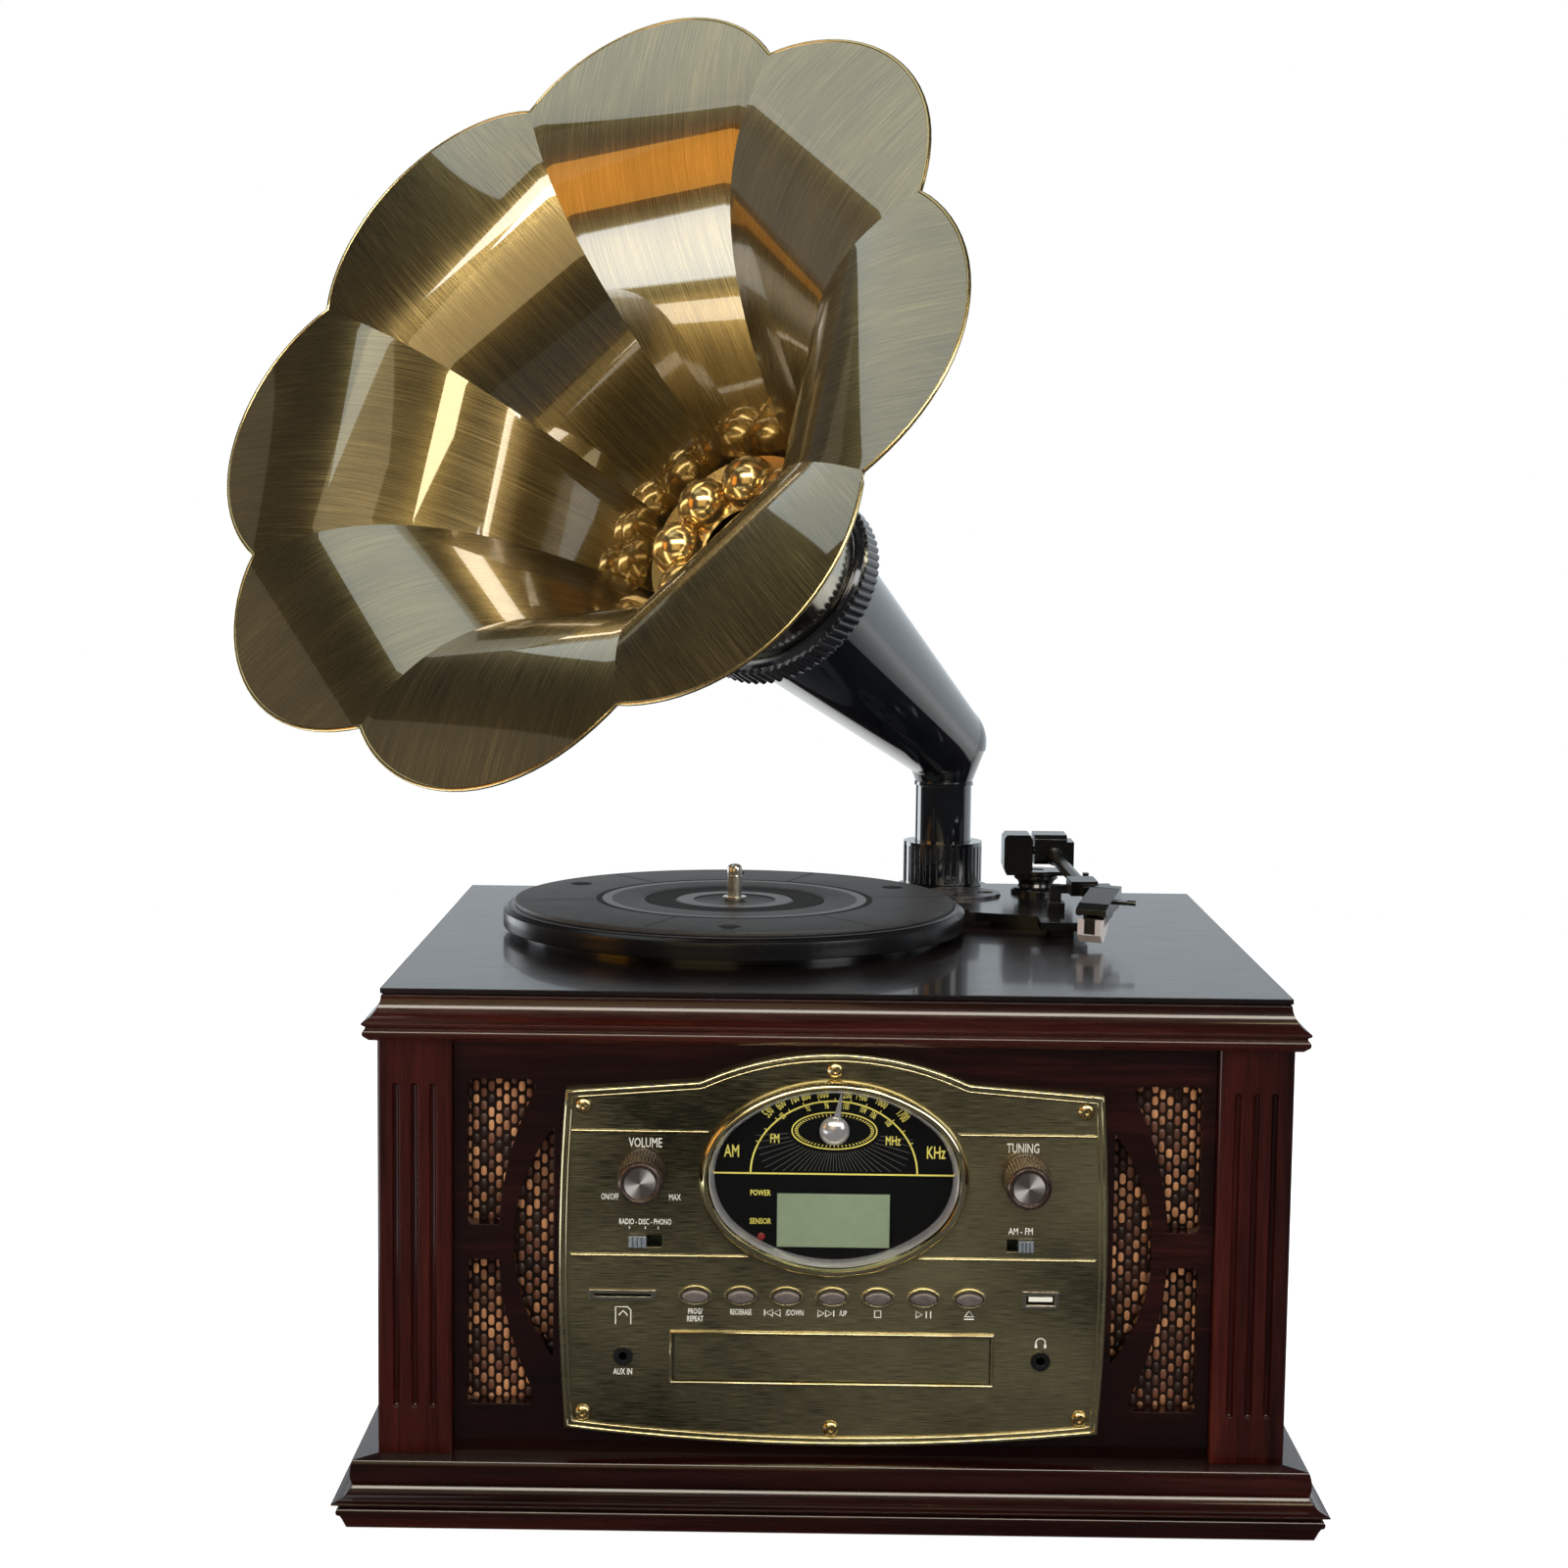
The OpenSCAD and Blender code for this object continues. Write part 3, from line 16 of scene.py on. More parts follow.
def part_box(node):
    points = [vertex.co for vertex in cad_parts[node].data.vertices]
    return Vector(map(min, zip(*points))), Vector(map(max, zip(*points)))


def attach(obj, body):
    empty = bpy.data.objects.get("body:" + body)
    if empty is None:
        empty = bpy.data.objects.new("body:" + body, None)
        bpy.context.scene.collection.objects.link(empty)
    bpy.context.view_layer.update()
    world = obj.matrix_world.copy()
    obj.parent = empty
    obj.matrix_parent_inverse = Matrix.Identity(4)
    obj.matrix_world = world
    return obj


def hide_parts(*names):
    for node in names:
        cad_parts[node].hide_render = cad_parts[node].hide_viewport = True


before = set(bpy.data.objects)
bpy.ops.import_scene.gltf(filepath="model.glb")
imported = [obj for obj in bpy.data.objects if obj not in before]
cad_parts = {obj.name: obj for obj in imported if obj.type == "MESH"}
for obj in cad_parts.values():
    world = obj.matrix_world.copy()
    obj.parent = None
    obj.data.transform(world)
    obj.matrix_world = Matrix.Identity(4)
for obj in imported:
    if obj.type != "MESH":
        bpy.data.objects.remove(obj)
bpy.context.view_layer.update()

LOG = logging.getLogger("gramophone")
MM = 0.001
OUTWARD = Matrix.Rotation(math.radians(90), 4, "X")
Point = Sequence[float]
Flat = tuple[float, float]
Operand = Union["Wire", float]
Owner = Union[bpy.types.Material, bpy.types.World]


# Shader writing


class Wire:
    """A shader output that grows Math nodes when it is used in an expression."""

    def __init__(self, graph: "Graph", socket: bpy.types.NodeSocket) -> None:
        """Wraps one output socket of a graph.

        Args:
            graph: The graph that the socket belongs to.
            socket: The output socket.
        """
        self.graph = graph
        self.socket = socket

    def _math(self, operation: str, first: Operand, second: Operand) -> "Wire":
        """Adds one Math node.

        Args:
            operation: The node's operation.
            first: The first operand.
            second: The second operand.

        Returns:
            The node's result.
        """
        return self.graph.node("ShaderNodeMath", {"operation": operation}, {0: first, 1: second})

    def __add__(self, other: Operand) -> "Wire":
        """Sum."""
        return self._math("ADD", self, other)

    def __radd__(self, other: Operand) -> "Wire":
        """Reflected sum."""
        return self._math("ADD", other, self)

    def __sub__(self, other: Operand) -> "Wire":
        """Difference."""
        return self._math("SUBTRACT", self, other)

    def __rsub__(self, other: Operand) -> "Wire":
        """Reflected difference."""
        return self._math("SUBTRACT", other, self)

    def __mul__(self, other: Operand) -> "Wire":
        """Product."""
        return self._math("MULTIPLY", self, other)

    def __rmul__(self, other: Operand) -> "Wire":
        """Reflected product."""
        return self._math("MULTIPLY", other, self)


class Graph:
    """The node tree of one material or of the world."""

    def __init__(self, owner: Owner) -> None:
        """Empties the node tree of a material or a world.

        Args:
            owner: The material or world that the nodes belong to.
        """
        self.owner = owner
        owner.use_nodes = True
        self.tree = owner.node_tree
        self.tree.nodes.clear()

    def node(
        self,
        kind: str,
        settings: Optional[dict[str, object]] = None,
        inputs: Optional[dict[Union[int, str], object]] = None,
        out: Union[int, str] = 0,
    ) -> Wire:
        """Adds a node, sets it up and links it.

        Args:
            kind: The node's type.
            settings: Properties of the node, set first; "stops" fills a colour ramp.
            inputs: Values or wires by socket name or number.
            out: The output to return.

        Returns:
            The chosen output.
        """
        made = self.tree.nodes.new(kind)
        for key, value in (settings or {}).items():
            if key == "stops":
                ramp = made.color_ramp
                while len(ramp.elements) < len(value):
                    ramp.elements.new(0.5)
                for element, (place, colour) in zip(ramp.elements, value):
                    element.position = place
                    element.color = (*colour, 1.0)
            else:
                setattr(made, key, value)
        for key, value in (inputs or {}).items():
            socket = made.inputs[key]
            if isinstance(value, Wire):
                self.tree.links.new(value.socket, socket)
            elif isinstance(value, (tuple, list)) and len(value) == 3 and socket.type == "RGBA":
                socket.default_value = (*value, 1.0)
            else:
                socket.default_value = value
        return Wire(self, made.outputs[out])

    def ramp(self, value: Wire, stops: Sequence[tuple[float, Point]]) -> Wire:
        """Maps a number to colours.

        Args:
            value: The number.
            stops: Places and colours.

        Returns:
            The colour.
        """
        return self.node("ShaderNodeValToRGB", {"stops": stops}, {0: value})

    def slide(self, value: Wire, low: float, high: float, start: float, end: float) -> Wire:
        """Goes from start to end while a value goes from low to high.

        Args:
            value: The value.
            low: Where the slide starts.
            high: Where it ends.
            start: The result below low.
            end: The result above high.

        Returns:
            The result.
        """
        return self.node("ShaderNodeMapRange", None, {
            "Value": value, "From Min": low, "From Max": high, "To Min": start, "To Max": end,
        })

    def part(self, where: Wire, axis: str) -> Wire:
        """One coordinate of a place."""
        return self.node("ShaderNodeSeparateXYZ", None, {0: where}, axis)

    def ray(self, kind: str) -> Wire:
        """Whether the ray is of a kind, such as Camera."""
        return self.node("ShaderNodeLightPath", out="Is %s Ray" % kind)

    def place(self, stretch: Point) -> Wire:
        """Object coordinates, stretched along each axis."""
        coords = self.node("ShaderNodeTexCoord", out="Object")
        return self.node("ShaderNodeMapping", None, {"Vector": coords, "Scale": stretch})

    def noise(self, where: Wire, scale: float, detail: float = 4.0, rough: float = 0.55) -> Wire:
        """Noise at some coordinates.

        Args:
            where: The coordinates.
            scale: Cells for each metre.
            detail: Number of octaves.
            rough: Weight of the fine octaves.

        Returns:
            The noise from 0 to 1.
        """
        return self.node(
            "ShaderNodeTexNoise", None,
            {"Vector": where, "Scale": scale, "Detail": detail, "Roughness": rough},
        )

    def bump(self, height: Wire, distance: float, strength: float = 1.0, round_edge: float = 0.0) -> Wire:
        """Turns a height into a normal.

        Args:
            height: The height, 0 to 1.
            distance: What 1 stands for in metres.
            strength: How strong it is.
            round_edge: Radius to which hard edges are softened.

        Returns:
            The normal.
        """
        inputs = {"Height": height, "Distance": distance, "Strength": strength}
        if round_edge:
            inputs["Normal"] = self.node("ShaderNodeBevel", {"samples": 4}, {"Radius": round_edge})
        return self.node("ShaderNodeBump", None, inputs)

    def finish(self, **sockets: object) -> bpy.types.Material:
        """Ends the graph in one Principled shader.

        Args:
            **sockets: Values or wires, with underscores for the spaces in a socket's name.

        Returns:
            The material.
        """
        named = {key.replace("_", " "): value for key, value in sockets.items()}
        shader = self.node("ShaderNodeBsdfPrincipled", None, named)
        self.end(shader)
        return self.owner

    def end(self, shader: Wire) -> None:
        """Links a shader to the output of the material or world.

        Args:
            shader: The shader.
        """
        kind = "World" if isinstance(self.owner, bpy.types.World) else "Material"
        made = self.tree.nodes.new("ShaderNodeOutput" + kind)
        self.tree.links.new(shader.socket, made.inputs["Surface"])


# Finishes


@dataclass(frozen=True)
class Finish:
    """A plain finish with mottled colour, roughness and a fine bump."""

    name: str
    slot: str
    dark: Point
    light: Point
    rough: Flat = (0.3, 0.45)
    metal: float = 0.0
    stretch: Point = (1.0, 1.0, 1.0)
    scale: float = 400.0
    grain: float = 0.00003
    coat: float = 0.0
    round_edge: float = 0.0004
    sheen: float = 0.5

    def make(self) -> bpy.types.Material:
        """Builds the material.

        Returns:
            The material.
        """
        graph = Graph(bpy.data.materials.new(self.name))
        where = graph.place(self.stretch)
        fine = graph.noise(where, self.scale, detail=5.0)
        broad = graph.noise(where, self.scale * 0.09, detail=2.0)
        blend = fine * 0.5 + broad * 0.5
        low, high = self.rough
        return graph.finish(
            Base_Color=graph.ramp(blend, [(0.35, self.dark), (0.65, self.light)]),
            Roughness=fine * (high - low) + low,
            Metallic=self.metal,
            Coat_Weight=self.coat,
            Coat_Roughness=0.08,
            Specular_IOR_Level=self.sheen,
            Normal=graph.bump(fine, self.grain, strength=0.6, round_edge=self.round_edge),
        )


class Grain(Enum):
    """The way that the wood's grain runs."""

    ACROSS = (0.06, 1.0, 1.0)
    UPRIGHT = (1.0, 1.0, 0.05)
    DEEP = (1.0, 0.06, 1.0)


@dataclass(frozen=True)
class Mahogany:
    """Dark red lacquered wood."""

    name: str
    slot: str
    grain: Grain
    dark: Point = (0.005, 0.0008, 0.0006)
    mid: Point = (0.02, 0.0032, 0.0024)
    light: Point = (0.06, 0.0105, 0.0065)
    gloss: float = 0.16
    coat: float = 0.6
    sheen: float = 0.15
    ridge: float = 0.00003

    def make(self) -> bpy.types.Material:
        """Builds the material.

        Returns:
            The material.
        """
        graph = Graph(bpy.data.materials.new(self.name))
        where = graph.place(self.grain.value)
        figure = graph.noise(where, 34.0, detail=6.0, rough=0.62)
        pores = graph.noise(where, 620.0, detail=3.0, rough=0.7)
        tone = figure * 0.75 + pores * 0.25
        colour = graph.ramp(tone, [(0.34, self.dark), (0.52, self.mid), (0.7, self.light)])
        return graph.finish(
            Base_Color=colour,
            Roughness=pores * 0.16 + self.gloss,
            Coat_Weight=self.coat,
            Coat_Roughness=0.06,
            Specular_IOR_Level=self.sheen,
            Normal=graph.bump(pores, self.ridge, strength=0.35, round_edge=0.0009),
        )


@dataclass(frozen=True)
class HornBrass:
    """Lacquered antique brass, scratched along the flow that the mesh states."""

    name: str = "horn_brass"
    slot: str = "horn_brass"
    dark: Point = (0.06, 0.041, 0.014)
    mid: Point = (0.18, 0.13, 0.048)
    light: Point = (0.5, 0.38, 0.16)

    def make(self) -> bpy.types.Material:
        """Builds the material.

        Returns:
            The material.
        """
        graph = Graph(bpy.data.materials.new(self.name))
        flow = graph.node("ShaderNodeAttribute", {"attribute_name": "flow"}, out="Vector")

        def strokes(across: float, along: float, lean: float, detail: float) -> Wire:
            """One set of scratches.

            Args:
                across: Scratches to the metre across the flow.
                along: Scratches to the metre along it.
                lean: Turn from the flow in radians.
                detail: Number of octaves.

            Returns:
                The scratches from 0 to 1.
            """
            where = graph.node("ShaderNodeMapping", None, {
                "Vector": flow, "Scale": (across, along, 1.0), "Rotation": (0.0, 0.0, lean),
            })
            return graph.noise(where, 1.0, detail, rough=0.7)

        fine = strokes(4200.0, 18.0, lean=0.0, detail=4.0)
        left = strokes(3000.0, 30.0, lean=0.006, detail=3.0)
        right = strokes(2200.0, 26.0, lean=-0.009, detail=3.0)
        clouds = strokes(26.0, 9.0, lean=0.0, detail=3.0)
        tone = fine * 0.4 + left * 0.25 + right * 0.2 + clouds * 0.15
        colour = graph.ramp(tone, [(0.36, self.dark), (0.5, self.mid), (0.64, self.light)])
        return graph.finish(
            Base_Color=colour,
            Roughness=fine * 0.2 + 0.17,
            Metallic=0.95,
            Coat_Weight=1.0,
            Coat_IOR=2.3,
            Coat_Roughness=0.025,
            Normal=graph.bump(fine * 0.6 + left * 0.4, distance=0.00001, strength=0.4),
        )


@dataclass(frozen=True)
class Brushed:
    """Metal brushed in straight strokes along X."""

    name: str
    slot: str
    dark: Point
    light: Point
    rough: Flat = (0.2, 0.42)
    stretch: Point = (0.035, 1.0, 1.0)
    clouds: float = 15.0
    metal: float = 1.0
    round_edge: float = 0.0005

    def make(self) -> bpy.types.Material:
        """Builds the material.

        Returns:
            The material.
        """
        graph = Graph(bpy.data.materials.new(self.name))
        where = graph.place(self.stretch)
        strokes = graph.noise(where, 2600.0, detail=3.0, rough=0.65)
        patches = graph.noise(graph.place((0.55, 1.0, 0.9)), self.clouds, detail=2.0, rough=0.5)
        tone = strokes * 0.45 + patches * 0.55
        low, high = self.rough
        return graph.finish(
            Base_Color=graph.ramp(tone, [(0.38, self.dark), (0.62, self.light)]),
            Roughness=strokes * (high - low) + low,
            Metallic=self.metal,
            Coat_Weight=0.3,
            Coat_Roughness=0.1,
            Normal=graph.bump(strokes, distance=0.00002, strength=0.5, round_edge=self.round_edge),
        )


@dataclass(frozen=True)
class Woven:
    """Grille cloth whose picks differ in shade, as the mesh states."""

    name: str
    slot: str
    dark: Point
    mid: Point
    light: Point

    def make(self) -> bpy.types.Material:
        """Builds the material.

        Returns:
            The material.
        """
        graph = Graph(bpy.data.materials.new(self.name))
        shade = graph.node("ShaderNodeAttribute", {"attribute_name": "shade"}, out="Fac")
        thread = graph.noise(graph.place((1.0, 1.0, 0.2)), 2600.0, detail=3.0)
        tone = shade * 0.7 + thread * 0.3
        return graph.finish(
            Base_Color=graph.ramp(tone, [(0.2, self.dark), (0.5, self.mid), (0.8, self.light)]),
            Roughness=0.55,
            Normal=graph.bump(thread, distance=0.0001, strength=0.6),
        )


@dataclass(frozen=True)
class SpunFacePaintedGlint:
    """Lathe-turned metal with the two bright fans of its rings, which are a painted highlight in its colour.
    """

    name: str
    slot: str
    dark: Point
    mid: Point
    light: Point

    def make(self) -> bpy.types.Material:
        """Builds the material.

        Returns:
            The material.
        """
        graph = Graph(bpy.data.materials.new(self.name))
        seat = graph.node("ShaderNodeTexCoord", out="Generated")
        # Painted highlight: two bright fans, set by the angle round the face, put into the base colour.
        turn = graph.node("ShaderNodeMath", {"operation": "ARCTAN2"}, {
            0: graph.part(seat, "Z") - 0.5, 1: graph.part(seat, "X") - 0.5,
        })
        painted_fans = graph.node("ShaderNodeMath", {"operation": "SINE"}, {0: turn * 2.0 + 0.4})
        return graph.finish(
            Base_Color=graph.ramp(painted_fans * 0.5 + 0.5, [(0.2, self.dark), (0.7, self.mid), (0.97, self.light)]),
            Roughness=0.3,
            Metallic=0.6,
        )


@dataclass(frozen=True)
class Clear:
    """Clear glass or plastic."""

    name: str = "clear_glass"
    slot: str = "clear_glass"

    def make(self) -> bpy.types.Material:
        """Builds a see-through sheet with a gloss that grows at grazing angles.

        Returns:
            The material.
        """
        graph = Graph(bpy.data.materials.new(self.name))
        gloss = graph.node("ShaderNodeBsdfGlossy", None, {"Color": (1.0, 1.0, 1.0), "Roughness": 0.02})
        through = graph.node("ShaderNodeBsdfTransparent", None, {"Color": (0.97, 0.98, 0.98)})
        rim = graph.node("ShaderNodeFresnel", None, {"IOR": 1.35})
        inside = graph.node("ShaderNodeNewGeometry", out="Backfacing")
        graph.end(graph.node("ShaderNodeMixShader", None, {0: rim * (1.0 - inside), 1: through, 2: gloss}))
        return graph.owner


@dataclass(frozen=True)
class Lens:
    """A small tinted lens, unlit."""

    name: str
    slot: str
    colour: Point

    def make(self) -> bpy.types.Material:
        """Builds the material.

        Returns:
            The material.
        """
        graph = Graph(bpy.data.materials.new(self.name))
        cloud = graph.noise(graph.place((1.0, 1.0, 1.0)), 300.0, detail=2.0)
        shade = tuple(part * 0.7 for part in self.colour)
        return graph.finish(
            Base_Color=graph.ramp(cloud, [(0.3, shade), (0.7, self.colour)]),
            Roughness=0.3,
        )


class Palette:
    """All the finishes, each made once."""

    def __init__(self) -> None:
        """Makes every material."""
        entries = [
            # Wood
            Mahogany("mahogany_across", "mahogany_wood", Grain.ACROSS),
            Mahogany("mahogany_upright", "mahogany_wood", Grain.UPRIGHT, mid=(0.042, 0.005, 0.003),
                     light=(0.12, 0.018, 0.008)),
            Mahogany("mahogany_front", "mahogany_wood", Grain.ACROSS, (0.003, 0.0005, 0.0004),
                     (0.011, 0.0014, 0.001), (0.045, 0.006, 0.003)),
            Mahogany("mahogany_deep", "mahogany_wood", Grain.DEEP),
            Mahogany("board_top", "black_board", Grain.ACROSS, (0.004, 0.003, 0.003), (0.01, 0.006, 0.006),
                     (0.024, 0.012, 0.011), gloss=0.15, coat=0.42, sheen=0.2, ridge=0.00022),
            Finish("board_raw", "board_wood", (0.09, 0.055, 0.03), (0.17, 0.11, 0.06), (0.5, 0.7),
                   stretch=(0.1, 1.0, 1.0), scale=120.0),
            # Brass and gilt trim
            HornBrass(),
            Brushed("antique_brass", "antique_brass", (0.06, 0.057, 0.036), (0.62, 0.55, 0.33)),
            Finish("trim_gold", "screw_brass", (0.55, 0.47, 0.25), (0.78, 0.71, 0.48), (0.1, 0.16),
                   metal=1.0, scale=90.0, grain=0.0, round_edge=0.0),
            Finish("edge_brass", "screw_brass", (0.42, 0.31, 0.13), (0.62, 0.5, 0.27), (0.16, 0.28),
                   metal=1.0),
            Finish("dome_brass", "polished_brass", (0.5, 0.36, 0.15), (0.62, 0.46, 0.21), (0.14, 0.2),
                   metal=0.9, grain=0.0, round_edge=0.0),
            Finish("neck_brass", "pale_brass", (0.5, 0.47, 0.38), (0.68, 0.65, 0.55), (0.08, 0.18),
                   metal=1.0, stretch=(1.0, 1.0, 0.2)),
            # Bright metal
            Finish("black_chrome", "black_chrome", (0.004, 0.006, 0.009), (0.008, 0.01, 0.014), (0.05, 0.09),
                   coat=1.0, grain=0.0, sheen=1.0),
            Finish("ring_chrome", "black_chrome", (0.006, 0.007, 0.009), (0.012, 0.013, 0.017), (0.06, 0.1),
                   coat=1.0, grain=0.0, round_edge=0.0011, sheen=0.9),
            Finish("boss_chrome", "chrome_metal", (0.6, 0.56, 0.56), (0.8, 0.77, 0.77), (0.16, 0.24),
                   metal=0.7),
            # Knob faces, with a painted highlight of two bright fans in their colour.
            SpunFacePaintedGlint("knob_face", "bronze_plastic", (0.1, 0.085, 0.08), (0.3, 0.27, 0.26), (0.85, 0.82, 0.8)),
            Finish("spindle_brass", "chrome_metal", (0.55, 0.5, 0.42), (0.75, 0.7, 0.6), (0.12, 0.2),
                   metal=0.85, grain=0.0),
            # Record player and dial
            Finish("black_plastic", "black_plastic", (0.003, 0.003, 0.003), (0.007, 0.007, 0.007),
                   (0.16, 0.26), coat=0.3, grain=0.00001),
            Finish("platter_plastic", "black_plastic", (0.006, 0.006, 0.007), (0.01, 0.01, 0.011), (0.2, 0.3),
                   sheen=0.35),
            Finish("mat_rubber", "mat_rubber", (0.034, 0.034, 0.035), (0.064, 0.064, 0.066), (0.42, 0.6),
                   scale=900.0, grain=0.00005),
            # Lighter rings of painted sheen on the mat and the platter's flange, also less rough.
            Finish("mat_shine", "mat_rubber", (0.05, 0.05, 0.052), (0.085, 0.085, 0.088), (0.3, 0.42),
                   scale=900.0),
            Finish("dial_black", "dial_black", (0.0015, 0.0015, 0.002), (0.003, 0.003, 0.004), (0.4, 0.5),
                   grain=0.0, sheen=0.1),
            Clear(),
            Finish("lcd", "lcd_plastic", (0.245, 0.3, 0.19), (0.285, 0.345, 0.22), (0.18, 0.3), scale=200.0),
            # Sockets, cloth and inner parts
            Finish("socket_metal", "socket_metal", (0.4, 0.37, 0.3), (0.6, 0.57, 0.48), (0.16, 0.3),
                   metal=1.0),
            Finish("circuit_green", "circuit_board", (0.004, 0.012, 0.005), (0.01, 0.026, 0.01), (0.4, 0.55)),
            Finish("steel", "steel_sheet", (0.35, 0.35, 0.36), (0.5, 0.5, 0.52), (0.25, 0.4), metal=1.0),
            Finish("speaker_grey", "speaker_metal", (0.015, 0.015, 0.016), (0.03, 0.03, 0.032), (0.5, 0.65)),
            Finish("cloth_black", "grille_fabric", (0.006, 0.003, 0.002), (0.03, 0.011, 0.006), (0.7, 0.9),
                   sheen=0.1),
            Woven("cloth_tan", "grille_fabric", (0.03, 0.008, 0.004), (0.21, 0.064, 0.023),
                  (0.7, 0.31, 0.125)),
            Finish("belt_rubber", "belt_rubber", (0.004, 0.004, 0.004), (0.01, 0.01, 0.01), (0.5, 0.7)),
            Finish("adaptor_grey", "grey_aluminium", (0.2, 0.2, 0.21), (0.3, 0.3, 0.32), (0.3, 0.4),
                   metal=1.0),
            # Controls and guard
            Finish("milky", "milky_plastic", (0.95, 0.8, 0.78), (0.98, 0.93, 0.92), (0.2, 0.3), scale=160.0),
            Finish("knob_bronze", "bronze_plastic", (0.075, 0.052, 0.045), (0.15, 0.11, 0.095), (0.22, 0.34),
                   metal=0.85),
            Finish("button_brown", "bronze_plastic", (0.1, 0.08, 0.075), (0.17, 0.145, 0.135), (0.35, 0.5),
                   metal=0.3),
            Finish("silver_plastic", "silver_plastic", (0.24, 0.28, 0.32), (0.45, 0.5, 0.55), (0.25, 0.35),
                   metal=0.6),
            # Print
            Finish("ink_yellow", "dial_black", (0.85, 0.7, 0.1), (0.95, 0.82, 0.18), (0.5, 0.6),
                   round_edge=0.0),
            Finish("ink_pale", "dial_black", (0.72, 0.7, 0.6), (0.85, 0.83, 0.74), (0.4, 0.5),
                   round_edge=0.0),
            Finish("ink_dim", "dial_black", (0.07, 0.065, 0.06), (0.14, 0.13, 0.12), (0.5, 0.6),
                   round_edge=0.0),
            Lens("lamp_red", "dial_black", (0.28, 0.01, 0.01)),
            # Black laid in the mat's grooves, notches and dish as painted shade, and on the pads' own dark
            # tops.
            Finish("hole_black", "black_plastic", (0.001, 0.001, 0.001), (0.003, 0.003, 0.003), (0.6, 0.8)),
        ]
        self.materials = {entry.name: entry.make() for entry in entries}
        self.slots = {entry.name: entry.slot for entry in entries}

    def fit(self, piece: bpy.types.Object, finish: str, body: str, *nodes: str) -> None:
        """Dresses a new piece and sets it on its body, in place of nodes if any.

        Args:
            piece: The piece.
            finish: Its finish.
            body: The body that it rides on.
            *nodes: The nodes that it stands for.
        """
        piece.data.materials.clear()
        piece.data.materials.append(self.materials[finish])
        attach(piece, body)
        if nodes:
            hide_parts(*nodes)
        LOG.info("%s rides on %s", piece.name, body)

    def dress_nodes(self, finishes: dict[str, Sequence[str]]) -> None:
        """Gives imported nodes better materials.

        Args:
            finishes: The nodes that take each finish.
        """
        for finish, nodes in finishes.items():
            for node in nodes:
                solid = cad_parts[node]
                for place in solid.material_slots:
                    place.material = self.materials[finish]
                if not solid.material_slots:
                    solid.data.materials.append(self.materials[finish])
                LOG.info("%s is dressed in %s", node, finish)


# Mesh helpers


def piece_from(
    name: str, points: Sequence[Point], faces: Sequence[Sequence[int]], sharp: float = 35.0,
) -> bpy.types.Object:
    """Makes an object from points in millimetres.

    Args:
        name: The object's name.
        points: The vertices.
        faces: Vertex numbers of each face.
        sharp: Angle in degrees above which an edge stays hard.

    Returns:
        The new object.
    """
    mesh = bpy.data.meshes.new(name)
    mesh.from_pydata([tuple(part * MM for part in point) for point in points], [], faces)
    mesh.validate()
    mesh.shade_smooth()
    mesh.set_sharp_from_angle(angle=math.radians(sharp))
    made = bpy.data.objects.new(name, mesh)
    bpy.context.scene.collection.objects.link(made)
    return made


def grid_faces(rows: int, columns: int, closed: bool = False, start: int = 0) -> list[tuple[int, ...]]:
    """Faces of a grid of points.

    Args:
        rows: Number of rows.
        columns: Points in a row.
        closed: Whether each row is a ring.
        start: Number of the first point.

    Returns:
        The faces.
    """
    faces = []
    last = columns if closed else columns - 1
    for i in range(rows - 1):
        for j in range(last):
            a = start + i * columns + j
            b = start + i * columns + (j + 1) % columns
            faces.append((a, b, b + columns, a + columns))
    return faces


def round_point(degrees: float, wide: float = 1.0, high: Optional[float] = None) -> Flat:
    """A point of a circle about the origin, or of an oval if a height is given.

    Args:
        degrees: Its angle, anticlockwise from the first axis.
        wide: Radius along the first axis.
        high: Radius along the second axis, the same if not given.

    Returns:
        The point.
    """
    angle = math.radians(degrees)
    return wide * math.cos(angle), (wide if high is None else high) * math.sin(angle)


def fine_run(start: float, end: float, step: float = 0.2) -> list[float]:
    """Values from the start to just before the end.

    Args:
        start: The first value.
        end: The values stay below it.
        step: How far apart they are.

    Returns:
        The values.
    """
    run = []
    while start < end:
        run.append(start)
        start += step
    return run


def lathe(
    name: str,
    profile: Sequence[Flat],
    place: Matrix,
    steps: int = 96,
    ripple: Optional[Callable[[float, float, float], float]] = None,
    sharp: float = 32.0,
) -> bpy.types.Object:
    """Turns a profile round the local Z axis.

    Args:
        name: The object's name.
        profile: Radius and height of each point in millimetres.
        place: Where the axis stands, in millimetres.
        steps: Points round the axis.
        ripple: Radius from the plain radius, the height and the angle.
        sharp: Angle above which an edge stays hard.

    Returns:
        The new object.
    """
    points = []
    for radius, height in profile:
        for j in range(steps):
            angle = 2 * math.pi * j / steps
            reach = ripple(radius, height, angle) if ripple else radius
            points.append(place @ Vector((reach * math.cos(angle), reach * math.sin(angle), height)))
    return piece_from(name, points, grid_faces(len(profile), steps, closed=True), sharp)


